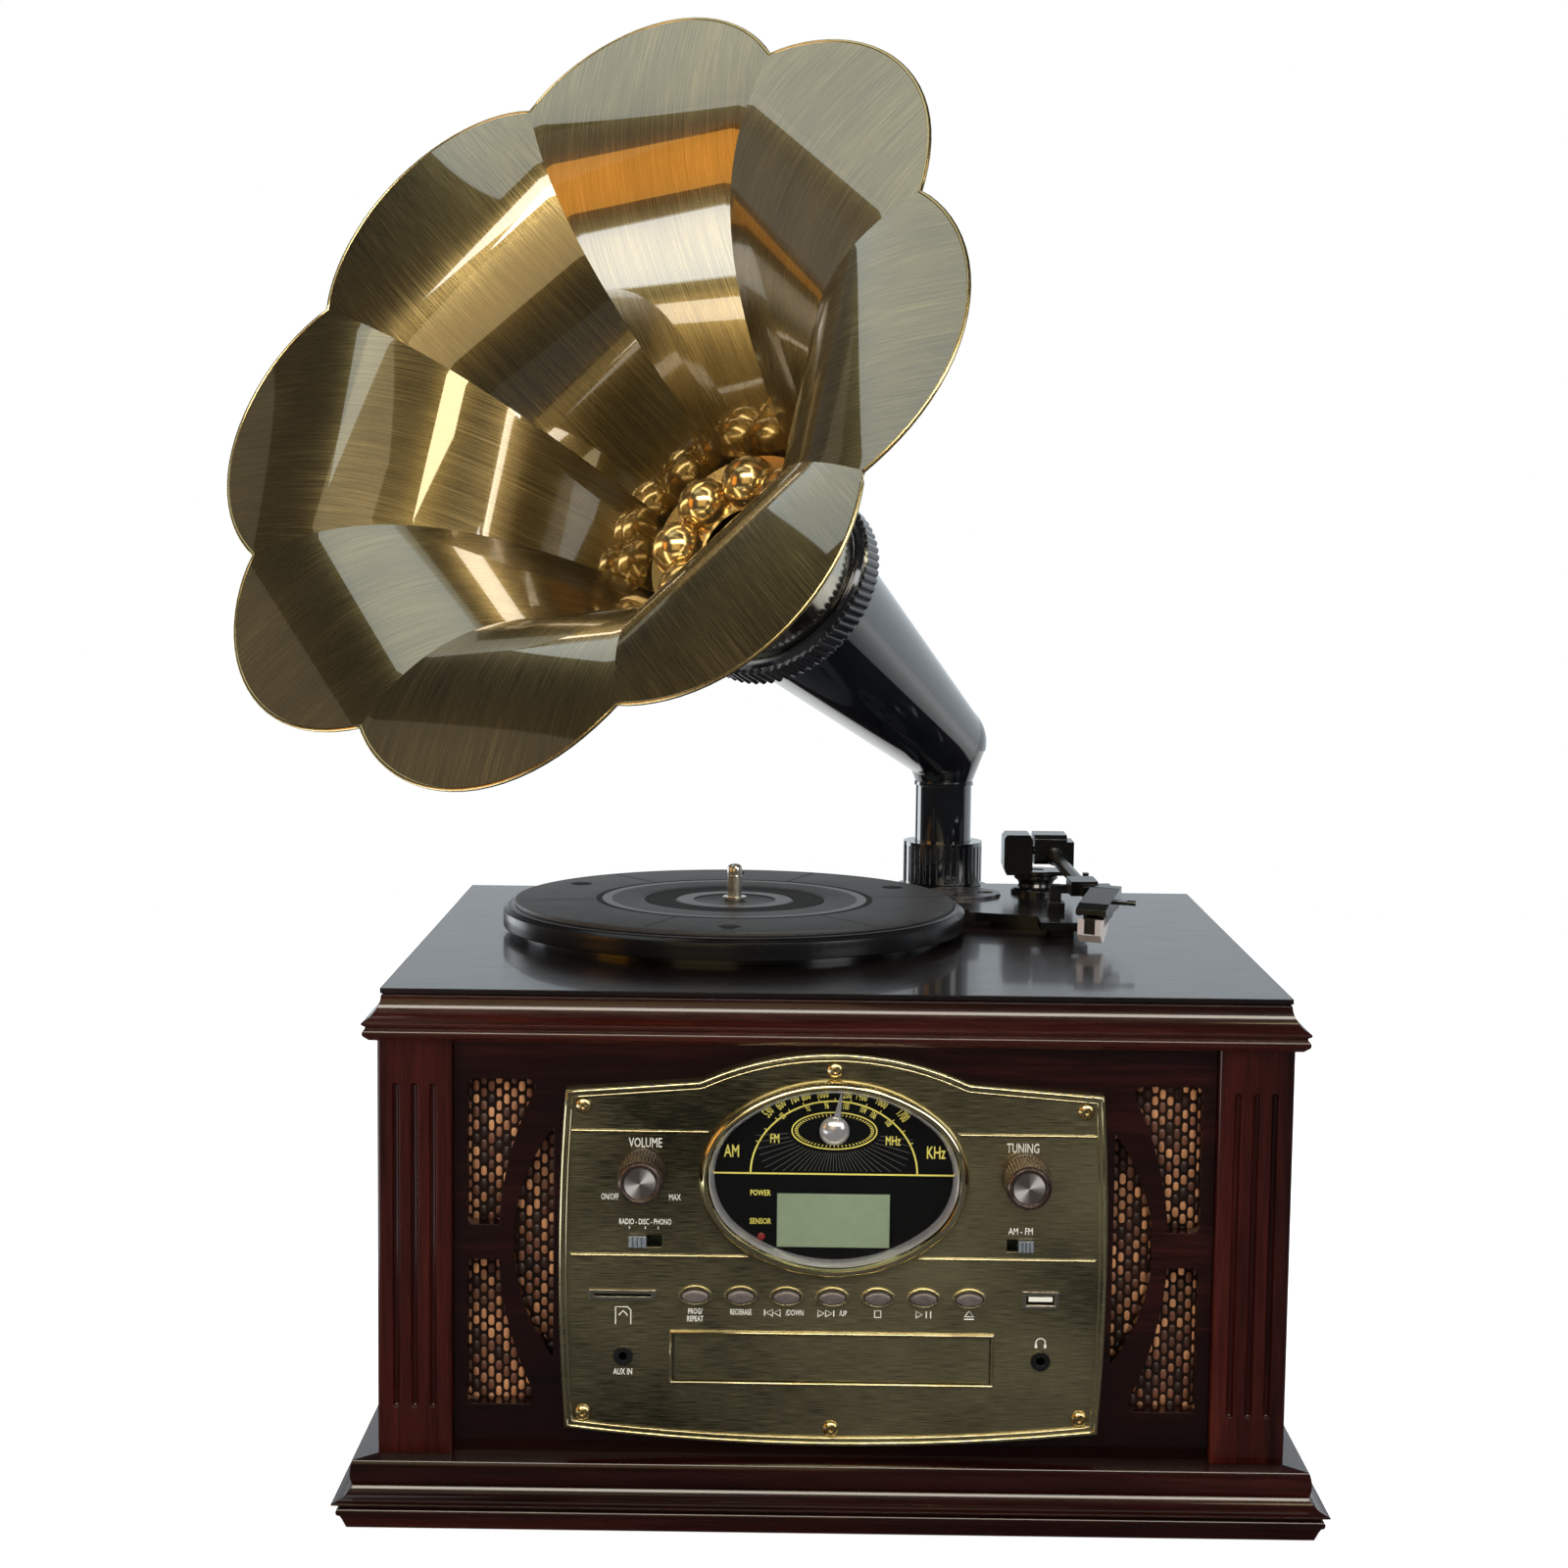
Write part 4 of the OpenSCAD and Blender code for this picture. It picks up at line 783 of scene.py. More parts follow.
def tube(
    name: str, path: Sequence[Point], radius: float, closed: bool = True, sides: int = 10,
) -> bpy.types.Object:
    """A round bead along a path.

    Args:
        name: The object's name.
        path: Points in millimetres.
        radius: The bead's radius.
        closed: Whether the path is a ring.
        sides: Points round the bead.

    Returns:
        The new object.
    """
    track = [Vector(point) for point in path]
    count = len(track)
    points = []
    up = None
    for i, centre in enumerate(track):
        before = track[i - 1] if closed or i else centre
        after = track[(i + 1) % count] if closed or i < count - 1 else centre
        along = (after - before).normalized()
        if up is None:
            up = along.orthogonal().normalized()
        side = along.cross(up).normalized()
        up = side.cross(along).normalized()
        for j in range(sides):
            angle = 2 * math.pi * j / sides
            points.append(centre + (side * math.cos(angle) + up * math.sin(angle)) * radius)
    faces = grid_faces(count, sides, closed=True)
    if closed:
        base = (count - 1) * sides
        gaps = [(points[j] - points[base]).length for j in range(sides)]
        shift = gaps.index(min(gaps))
        for j in range(sides):
            k = (j + 1) % sides
            faces.append((base + j, base + k, (k + shift) % sides, (j + shift) % sides))
    else:
        faces.append(tuple(reversed(range(sides))))
        faces.append(tuple(range((count - 1) * sides, count * sides)))
    return piece_from(name, points, faces, sharp=60.0)


def joined(name: str, parts: Sequence[bpy.types.Object]) -> bpy.types.Object:
    """Joins pieces into the first one.

    Args:
        name: The joined object's name.
        parts: The pieces.

    Returns:
        The joined object.
    """
    if len(parts) > 1:
        with bpy.context.temp_override(
            active_object=parts[0], object=parts[0], selected_objects=list(parts),
            selected_editable_objects=list(parts),
        ):
            bpy.ops.object.join()
    parts[0].name = name
    parts[0].data.name = name
    return parts[0]


def oval_points(half_w: float, half_h: float, steps: int = 160) -> list[Flat]:
    """Points of an oval made of four arcs.

    Args:
        half_w: Half of its width.
        half_h: Half of its height.
        steps: Number of points.

    Returns:
        The points, anticlockwise.
    """
    blunt = 1.09  # against the ends of an ellipse
    end = blunt * half_h * half_h / half_w
    c = half_w - end
    rise = half_h - end
    d = (c * c - rise * rise) / (2 * rise)
    flat = half_h + d
    meet = math.atan2(d, c)
    quarter = steps // 4
    arcs = [
        ((c, 0.0), end, -meet, meet),
        ((0.0, -d), flat, meet, math.pi - meet),
        ((-c, 0.0), end, math.pi - meet, math.pi + meet),
        ((0.0, d), flat, math.pi + meet, 2 * math.pi - meet),
    ]
    points = []
    for (x, z), radius, low, high in arcs:
        for i in range(quarter):
            angle = low + (high - low) * (i + 1) / quarter
            points.append((x + radius * math.cos(angle), z + radius * math.sin(angle)))
    return points


# Sub-assemblies


class Side(Enum):
    """Which side of the middle, as the sign of X."""

    LEFT = -1
    RIGHT = 1


@dataclass
class Cabinet:
    """The wooden body with its mouldings, pilasters, top board and grilles."""

    palette: Palette
    width: float = 380.0
    depth: float = 314.0
    base_top: float = 28.0
    body_top: float = 204.0
    pilaster_w: float = 31.0
    pilaster_d: float = 14.0
    flute_pitch: float = 7.7
    flute_w: float = 2.8
    flute_low: float = 47.9
    flute_high: float = 185.9
    flute_deep: float = 1.9
    flute_round: float = 0.7
    grille_inner: float = 113.6
    ground_lift: float = 0.35
    ground_wave: float = 0.12
    pick_pitch_x: float = 3.2
    pick_pitch_z: float = 5.6
    pick_w: float = 2.6
    pick_h: float = 4.4
    pick_thick: float = 0.42

    def moulding(self, name: str, profile: Sequence[Flat], inset: float, base: float) -> bpy.types.Object:
        """Sweeps a profile round the cabinet with mitred corners.

        Args:
            name: The object's name.
            profile: How far out and how high each point lies, from the bottom to the top.
            inset: How far in the frame's inner face lies.
            base: Height of the profile's zero.

        Returns:
            The new object.
        """
        ring = [(-inset, profile[0][1]), *profile, (-inset, profile[-1][1])]
        corners = [(-1, -1), (1, -1), (1, 1), (-1, 1)]
        points, faces = [], []
        count = len(ring)
        for side in range(4):
            start = len(points)
            for sx, sy in (corners[side], corners[(side + 1) % 4]):
                for out, high in ring:
                    points.append((sx * (self.width / 2 + out), sy * (self.depth / 2 + out), base + high))
            for i in range(count):
                k = (i + 1) % count
                faces.append((start + i, start + count + i, start + count + k, start + k))
        return piece_from(name, points, faces, sharp=28.0)

    @staticmethod
    def bent(centre: Flat, radius: float, low: float, high: float, steps: int = 14) -> list[Flat]:
        """Points of an arc.

        Args:
            centre: Its centre.
            radius: Its radius.
            low: The first point's angle in degrees.
            high: The last point's angle in degrees.
            steps: Pieces of the arc.

        Returns:
            The points.
        """
        turns = [round_point(low + (high - low) * i / steps, radius) for i in range(steps + 1)]
        return [(centre[0] + x, centre[1] + y) for x, y in turns]

    def build_mouldings(self) -> None:
        """Base and cornice, in place of the plain ones."""
        foot = [
            (11.6, 0.0), (13.2, 4.0), *self.bent((13.5, 7.5), 1.95, -75, 75), (14.4, 10.2), (16.9, 11.0),
            (17.2, 11.4), *self.bent((18.0, 21.8), 10.0, 264, 207), *self.bent((-4.7, 22.5), 15.0, -18, 15),
            (9.5, 27.4), (9.1, 27.9), (8.6, self.base_top),
        ]
        plinth = self.moulding("plinth_moulding", foot, inset=24.0, base=0.0)
        self.palette.fit(plinth, "mahogany_across", "cabinet", "plinth")
        crown = [
            (0.0, 0.0), (2.8, 0.3), *self.bent((3.4, 3.4), 2.0, -65, 65), (4.2, 6.2), (5.1, 6.7), (5.6, 7.2),
            (5.65, 7.8), *self.bent((10.6, 19.2), 12.2, 244, 190), (-1.5, 18.4), (-2.0, 19.0), (-2.6, 19.3),
        ]
        cornice = self.moulding("cornice_moulding", crown, inset=22.0, base=self.body_top)
        self.palette.fit(cornice, "mahogany_across", "cabinet", "cornice")

    def flute_depth(self, x: float, z: float) -> float:
        """Depth of the flutes at a place of the pilaster's front.

        Args:
            x: Distance from the pilaster's middle line.
            z: Height.

        Returns:
            The depth.
        """
        deep = 0.0
        half = self.flute_w / 2
        for i in (-1, 0, 1):
            dx = x - i * self.flute_pitch
            dz = max(self.flute_low + half - z, z - self.flute_high + half, 0.0)
            away = math.hypot(dx, dz)
            if away < half:
                deep = max(deep, self.flute_deep * math.sqrt(1 - (away / half) ** 2) ** self.flute_round)
        return deep

    def pilaster(self, side: Side) -> bpy.types.Object:
        """One fluted pilaster as a fine relief.

        Args:
            side: Where it stands.

        Returns:
            The new object.
        """
        half = self.pilaster_w / 2
        middle = side.value * (self.width / 2 - half)
        front = -self.depth / 2
        soft, fine = 1.2, 0.2
        edge = (0.0, 0.1, 0.35, 0.7)
        xs = [-half + e for e in edge] + fine_run(-half + soft, half - soft + fine / 10, fine)
        xs += [half - soft] + [half - e for e in reversed(edge)]
        zs = [self.base_top, self.flute_low - 2, *fine_run(self.flute_low - 0.2, self.flute_low + 2.2, fine)]
        zs += [self.flute_low + 4, (self.flute_low + self.flute_high) / 2, self.flute_high - 4]
        zs += fine_run(self.flute_high - 2.2, self.flute_high + 0.4, fine)
        zs += [self.flute_high + 2, self.body_top]
        points = []
        for z in zs:
            for x in xs:
                near = min(half - abs(x), soft)
                rounding = soft - math.sqrt(max(soft * soft - (soft - near) ** 2, 0.0))
                points.append((middle + x, front + rounding + self.flute_depth(x, z), z))
        rows, columns = len(zs), len(xs)
        faces = grid_faces(rows, columns)
        back = len(points)
        for z in (self.base_top, self.body_top):
            for x in (-half, half):
                points.append((middle + x, front + self.pilaster_d, z))
        left = [i * columns for i in range(rows)]
        right = [i * columns + columns - 1 for i in range(rows)]
        faces += [
            (back, *left, back + 2),
            (back + 3, *reversed(right), back + 1),
            (back, back + 2, back + 3, back + 1),
            (back + 1, *reversed(range(columns)), back),
            (back + 2, *range((rows - 1) * columns, rows * columns), back + 3),
        ]
        return piece_from("pilaster_fluted_" + side.name.lower(), points, faces, sharp=40.0)

    def build_picks(self) -> None:
        """Tan picks of the grille cloths, each a flat bead with a shade of its own."""
        low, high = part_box("grille_cloths")
        outer, front = high.x / MM, low.y / MM + self.ground_lift
        chance = random.Random(11)
        shades: list[float] = []
        edge = 2.5
        bead = ((-1, -0.6), (-0.5, -1), (0.5, -1), (1, -0.6), (1, 0.6), (0.5, 1), (-0.5, 1), (-1, 0.6))
        shape = [(a, b, 0.0) for a, b in bead] + [(a * 0.6, b * 0.75, self.pick_thick) for a, b in bead]
        quads = [(k, (k + 1) % 8, 8 + (k + 1) % 8, 8 + k) for k in range(8)] + [tuple(range(8, 16))]
        points, faces = [], []
        for side in Side:
            for i in range(int((outer - self.grille_inner) / self.pick_pitch_x)):
                x = side.value * (self.grille_inner + self.pick_pitch_x / 2 + i * self.pick_pitch_x)
                first = low.z / MM + edge + (self.pick_pitch_z / 2 if i % 2 else 0.0)
                for z in fine_run(first, high.z / MM - 2, self.pick_pitch_z):
                    start = len(points)
                    wide = self.pick_w * chance.uniform(0.4, 0.5)
                    tall = self.pick_h * chance.uniform(0.4, 0.52)
                    points += [(x + a * wide, front - c, z + b * tall) for a, b, c in shape]
                    shades += [chance.random()] * len(shape)
                    faces += [tuple(start + k for k in quad) for quad in quads]
        picks = piece_from("grille_picks", points, faces, sharp=50.0)
        picks.data.attributes.new("shade", "FLOAT", "POINT").data.foreach_set("value", shades)
        self.palette.fit(picks, "cloth_tan", "cabinet")

    def build_ground(self) -> None:
        """Black ground of the grille cloths."""
        low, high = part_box("grille_cloths")
        inner, outer, front = self.grille_inner, high.x / MM, low.y / MM + self.ground_lift
        z_low, z_high = low.z / MM, high.z / MM
        rows, columns = 40, 14
        count = rows * columns
        faces = grid_faces(rows, columns) + [
            (count, count + 1, count + 2, count + 3),
            (count, *range(columns), count + 1),
            (count + 3, *range(count - columns, count), count + 2),
        ]
        sheets = []
        for side in Side:
            grid = []
            for i in range(rows):
                z = z_low + (z_high - z_low) * i / (rows - 1)
                wave = self.ground_wave * math.sin(2 * math.pi * z / self.pick_pitch_z) ** 2
                for j in range(columns):
                    x = inner + (outer - inner) * j / (columns - 1)
                    grid.append((side.value * x, front + wave, z))
            for x, z in ((inner, z_low), (outer, z_low), (outer, z_high), (inner, z_high)):
                grid.append((side.value * x, high.y / MM, z))
            sheets.append(piece_from("grille_ground", grid, faces, sharp=50.0))
        ground = joined("grille_ground", sheets)
        self.palette.fit(ground, "cloth_black", "cabinet", "grille_cloths")

    def build(self) -> None:
        """Builds and dresses the whole cabinet."""
        self.build_mouldings()
        for side in Side:
            node = "pilaster_" + side.name.lower()
            self.palette.fit(self.pilaster(side), "mahogany_upright", "cabinet", node)
        self.build_picks()
        self.build_ground()
        self.palette.dress_nodes({
            "mahogany_deep": ("side_panel_left", "side_panel_right"),
            "mahogany_front": ("front_panel",),
            "board_raw": ("back_panel", "bottom_board"),
            "board_top": ("top_board",),
            "speaker_grey": ("loudspeakers",),
            "steel": ("transformer",),
            "black_plastic": ("rear_sockets",),
        })


@dataclass
class Horn:
    """Petal bell, throat domes, neck, ring nut, elbow and collar."""

    palette: Palette
    x: float = 58.0
    y: float = 128.0
    bend_z: float = 306.8
    tilt: float = 29.6
    yaw: float = 35.4
    petal_turn: float = 7.85
    throat_r: float = 46.0
    tip_r: float = 190.0
    notch_r: float = 170.0
    mouth: float = 344.0
    length: float = 149.0
    flare: float = 3.45
    sheet: float = 1.0
    rim_r: float = 0.9
    panels: int = 8
    flow_gap: float = 0.7
    stem_r: float = 14.3
    ball_r: float = 21.6
    cone_r: float = 39.5
    cone_end_r: float = 44.3
    cone_long: float = 160.0
    stem_foot: float = 227.5
    collar_seat: float = 248.8
    knee_drop: float = 21.0

    @property
    def half_panel(self) -> float:
        """Half the angle of one panel, in radians."""
        return math.pi / self.panels

    @property
    def edge_cos(self) -> float:
        """Distance of a panel's middle line from the axis, as a share of its crease's."""
        return math.cos(self.half_panel)

    def place(self) -> Matrix:
        """The horn's frame in millimetres: origin at the bend, Z to the mouth.

        Returns:
            The frame.
        """
        bend = Matrix.Translation((self.x, self.y, self.bend_z))
        yaw = Matrix.Rotation(math.radians(-self.yaw), 4, "Z")
        return bend @ (yaw @ Matrix.Rotation(math.radians(90 - self.tilt), 4, "X"))

    def height(self, crease: float) -> float:
        """Height along the axis where the creases have a radius."""
        edge = self.tip_r / self.edge_cos
        return self.mouth - self.length * ((edge - crease) / (edge - self.throat_r)) ** self.flare

    def slope(self, crease: float) -> float:
        """Slope of the section where the creases have a radius.

        Args:
            crease: The creases' radius.

        Returns:
            The slope.
        """
        edge = self.tip_r / self.edge_cos
        part = (edge - crease) / (edge - self.throat_r)
        return self.length * self.flare / (edge - self.throat_r) * part ** (self.flare - 1)

    def reach(self, across: float, inset: float) -> float:
        """Distance of the petal's outline along one ray of a panel.

        Args:
            across: -1 at one crease, 0 at the petal's middle, 1 at the other crease.
            inset: How far inside the outline.

        Returns:
            The distance measured along the petal's middle line.
        """
        cos_h = self.edge_cos
        centre = (self.tip_r ** 2 - self.notch_r ** 2) / (2 * (self.tip_r - self.notch_r * cos_h))
        radius = self.tip_r - centre - inset
        k = across * math.tan(self.half_panel)
        a, b, c = 1 + k * k, -2 * centre, centre * centre - radius * radius
        return (-b + math.sqrt(b * b - 4 * a * c)) / (2 * a)

    def sheet_point(self, across: float, along: float, skin: float) -> tuple[float, float, float, float]:
        """A point of a panel in its own frame, with its middle line along X.

        Args:
            across: -1 at one crease, 0 at the middle, 1 at the other crease.
            along: 0 at the throat, 1 at the mouth.
            skin: How far outside the inner skin it lies.

        Returns:
            Its X and Y, how far below the section it lies, and its crease's radius.
        """
        first = self.throat_r * self.edge_cos
        x = first + (self.reach(across, self.rim_r) - first) * along
        crease = x / self.edge_cos
        k = self.slope(crease)
        size = math.hypot(k, self.edge_cos)
        x += skin * k / size
        return x, x * across * math.tan(self.half_panel), skin * self.edge_cos / size, crease

    def build_bell(self) -> None:
        """Eight bent panels with a rolled rim."""
        place, rays, rings = self.place(), 24, 56
        columns, rows = rays + 1, rings + 1
        points, faces, flow, rim = [], [], [], []
        for panel in range(self.panels):
            turn = math.radians(self.petal_turn + 360 / self.panels * panel)
            cos_t, sin_t = math.cos(turn), math.sin(turn)
            start = len(points)
            for skin in (0.0, self.sheet):
                for i in range(rows):
                    for j in range(columns):
                        x, y, below, crease = self.sheet_point(-1 + 2 * j / rays, i / rings, skin)
                        turned = (x * cos_t - y * sin_t, x * sin_t + y * cos_t)
                        points.append(place @ Vector((*turned, self.height(crease) - below)))
                        flow += (y * MM + panel * self.flow_gap, crease * MM, 0.0)
                        if i == rings and skin and j < rays:
                            rim.append(place @ Vector((*turned, self.height(crease) - self.sheet / 2)))
            outer = start + rows * columns
            faces += grid_faces(rows, columns, start=start)
            faces += [tuple(reversed(face)) for face in grid_faces(rows, columns, start=outer)]
            for j in range(rays):
                for row, flip in ((0, True), (rings, False)):
                    a = row * columns + j
                    quad = (start + a, start + a + 1, outer + a + 1, outer + a)
                    faces.append(tuple(reversed(quad)) if flip else quad)
        bell = piece_from("horn_petals", points, faces, sharp=40.0)
        bell.data.attributes.new("flow", "FLOAT_VECTOR", "POINT").data.foreach_set("vector", flow)
        self.palette.fit(bell, "horn_brass", "horn_unit", "horn_bell")
        self.palette.fit(tube("horn_rim", rim, self.rim_r), "edge_brass", "horn_unit")

    def build_elbow(self) -> None:
        """Stem, knee and cone of the elbow as one smooth run."""
        stem, ball, wide, long = self.stem_r, self.ball_r, self.cone_r, self.cone_long
        low, seat, core = self.stem_foot, self.collar_seat, 13.0
        knee, bead, swell = self.bend_z - self.knee_drop, 0.8, 16.0
        upright = [(0.0, low), (core, low), (core, seat), (stem, seat), (stem, knee - 1.2),
                   (stem + bead, knee - 1.0), (stem + bead, knee + 0.8), (stem + 0.3, knee + 1.0)]
        upright += [(stem + (ball - 1.2 - stem) * i / 8, knee + swell * i / 8) for i in range(1, 9)]
        for degrees in range(-10, 91, 5):
            x, rise = round_point(degrees, ball)
            upright.append((x, self.bend_z + rise))
        root, lip, bore = ball - 0.15, long + 3.0, wide - 2.5
        cone = [(root + (wide - root) * i / 12, long * i / 12) for i in range(13)]
        cone += [(self.cone_end_r, long), (self.cone_end_r, lip), (bore, lip), (bore, long - 20.0),
                 (0.0, long - 60.0)]
        elbow = joined("elbow_tube", [
            lathe("elbow_stem", upright, Matrix.Translation((self.x, self.y, 0.0)), steps=128, sharp=24.0),
            lathe("elbow_cone", cone, self.place(), steps=160, sharp=30.0),
        ])
        self.palette.fit(elbow, "black_chrome", "horn_unit", "horn_elbow")

    def build(self) -> None:
        """Builds and dresses the horn."""
        self.build_bell()
        self.build_elbow()
        self.palette.dress_nodes({
            "dome_brass": ("throat_domes",),
            "neck_brass": ("horn_neck",),
            "ring_chrome": ("ring_nut",),
            "black_chrome": ("horn_collar",),
        })


@dataclass
class Turntable:
    """Platter, mat, deck, spindle, adaptor and tonearm."""

    palette: Palette
    board: float = 225.5
    x: float = -46.5
    y: float = 10.0
    radius: float = 109.0
    platter_top: float = 13.6
    mat_top: float = 15.6
    print_lift: float = 0.02
    pad_circle: float = 88.0
    pad_r: float = 5.2
    groove_w: float = 1.1
    notch_w: float = 5.2
    grooves: int = 6
    spindle_r: float = 3.5
    spindle_tip: float = 32.1
    clip_r: float = 5.6

    def spot(self, x: float = 0.0, y: float = 0.0) -> Matrix:
        """A place on the board, from the platter's axis."""
        return Matrix.Translation((self.x + x, self.y + y, self.board))

    def pads(self, name: str, profile: Sequence[Flat]) -> list[bpy.types.Object]:
        """Three round pads on the mat.

        Args:
            name: The pads' name.
            profile: Radius and height of each point.

        Returns:
            The pads.
        """
        spots = [self.spot(*round_point(30 + 120 * i, self.pad_circle)) for i in range(3)]
        return [lathe(name, profile, spot, steps=40) for spot in spots]

    def build_platter(self) -> None:
        """Platter with soft edges, and its mat with rubber pads."""
        r, top, mat, hole = self.radius, self.platter_top, self.mat_top, 3.55
        disc = [
            (hole, 7.3), (9.0, 7.3), (9.0, 9.6), (47.0, 9.6), (47.0, 4.2), (50.0, 4.2), (50.0, 9.6),
            (106.0, 9.6), (106.0, 3.8), (106.3, 3.6), (108.6, 3.6), (r - 0.1, 3.8), (r, 4.2), (r, 10.7),
            (r - 0.15, 11.2), (r - 0.6, 11.55), (105.6, 13.2), (104.9, 13.55), (104.3, top), (hole, top),
            (hole, 7.3),
        ]
        platter = lathe("platter_disc", disc, self.spot(), steps=192)
        self.palette.fit(platter, "platter_plastic", "platter_unit", "platter")
        sheet = [
            (4.5, top), (103.5, top), (103.5, 15.2), (103.35, 15.5), (102.9, mat), (65.1, mat),
            (64.5, 14.95), (63.5, 14.95), (62.9, mat), (44.3, mat), (43.7, 15.45), (42.2, 14.7),
            (41.6, 14.6), (28.2, 14.6), (27.4, 14.95), (26.8, 15.0), (20.2, 15.0), (19.8, 14.95),
            (19.0, 14.6), (4.5, 14.6), (4.5, top),
        ]
        pad = [(self.pad_r, mat - 0.3), (self.pad_r, mat - 0.15), (self.pad_r - 0.3, mat - 0.04), (0.0, mat)]
        parts = [lathe("mat", sheet, self.spot(), steps=192), *self.pads("pad", pad)]
        self.palette.fit(joined("platter_mat_top", parts), "mat_rubber", "platter_unit", "platter_mat")

    def build_mat_marks(self) -> None:
        """Black laid in the mat's grooves, notches and dish as painted shade, with the pads' own dark tops;
        and lighter rings of painted sheen on its raised rings and the platter's flange.
        """
        level = self.mat_top + self.print_lift
        height = self.board + level
        half, groove_in, groove_out = self.groove_w / 2, 66.0, 101.5
        # Painted shade: black sheets laid flat in the grooves, notches, ring groove and dish; the pad tops
        # keep their own dark colour.
        lines = []
        for i in range(self.grooves):
            cos_t, sin_t = round_point(360 / self.grooves * i + 8)
            quad = []
            for a, b in ((groove_in, -half), (groove_out, -half), (groove_out, half), (groove_in, half)):
                quad.append((self.x + a * cos_t - b * sin_t, self.y + a * sin_t + b * cos_t, height))
            lines.append(piece_from("groove", quad, [(0, 1, 2, 3)]))
        half, notch_in, notch_out = self.notch_w / 2, 84.0, 97.0
        corners = ((-half, notch_in), (half, notch_in), (half, notch_out), (-half, notch_out))
        for way in (-1, 1):
            notch = [(self.x + a, self.y + way * b, height) for a, b in corners]
            lines.append(piece_from("notch", notch, [(0, 1, 2, 3) if way > 0 else (3, 2, 1, 0)]))
        for inner, outer, high in ((62.6, 65.4, level + 0.01), (41.8, 44.2, 14.9), (28.4, 41.4, 14.9)):
            lines.append(lathe("ring", [(outer, high), (inner, high)], self.spot(), steps=128))
        pad = [(self.pad_r, level), (self.pad_r - 0.4, level + 0.13), (0.0, level + 0.18)]
        lines += self.pads("pad_top", pad)
        self.palette.fit(joined("mat_grooves", lines), "hole_black", "platter_unit")
        # Painted sheen: lighter rings on the mat's raised rings and on the platter's sloping flange, which
        # are also less rough.
        bright = (
            ((62.4, level + 0.02), (58.0, level + 0.02), 128),
            ((27.2, 15.08), (19.4, 15.08), 96),
            ((106.6, 12.95), (105.7, 13.3), 160),
        )
        rings = [lathe("ring", [outer, inner], self.spot(), steps) for outer, inner, steps in bright]
        self.palette.fit(joined("mat_rings", rings), "mat_shine", "platter_unit")

    def build_spindle(self) -> None:
        """Turned spindle with its clip."""
        r, clip, tip = self.spindle_r, self.clip_r, self.spindle_tip
        profile = [
            (r, -13.0), (r, 15.9), (clip, 15.95), (clip, 16.6), (r, 16.65), (r, tip - 5.6),
            (r - 0.3, tip - 5.3), (r - 0.3, tip - 4.9), (r, tip - 4.6), (r, tip - 2.2), (3.1, tip - 1.0),
            (2.2, tip - 0.3), (1.0, tip - 0.03), (0.0, tip),
        ]
        pin = lathe("spindle_pin", profile, self.spot(), steps=48, sharp=40.0)
        self.palette.fit(pin, "spindle_brass", "cabinet", "spindle")

    def build(self) -> None:
        """Builds and dresses the turntable and the tonearm."""
        self.build_platter()
        self.build_mat_marks()
        self.build_spindle()
        self.palette.dress_nodes({
            "black_plastic": (
                "turntable_deck", "arm_base", "arm_rest", "arm_yoke", "tonearm", "headshell", "cartridge",
            ),
            "steel": ("motor",),
            "belt_rubber": ("drive_belt",),
            "edge_brass": ("motor_pulley",),
            "adaptor_grey": ("record_adaptor",),
            "milky": ("stylus_guard",),
        })


class Ink(Enum):
    """Colours of the printed marks."""

    YELLOW = "ink_yellow"
    PALE = "ink_pale"
    DIM = "ink_dim"


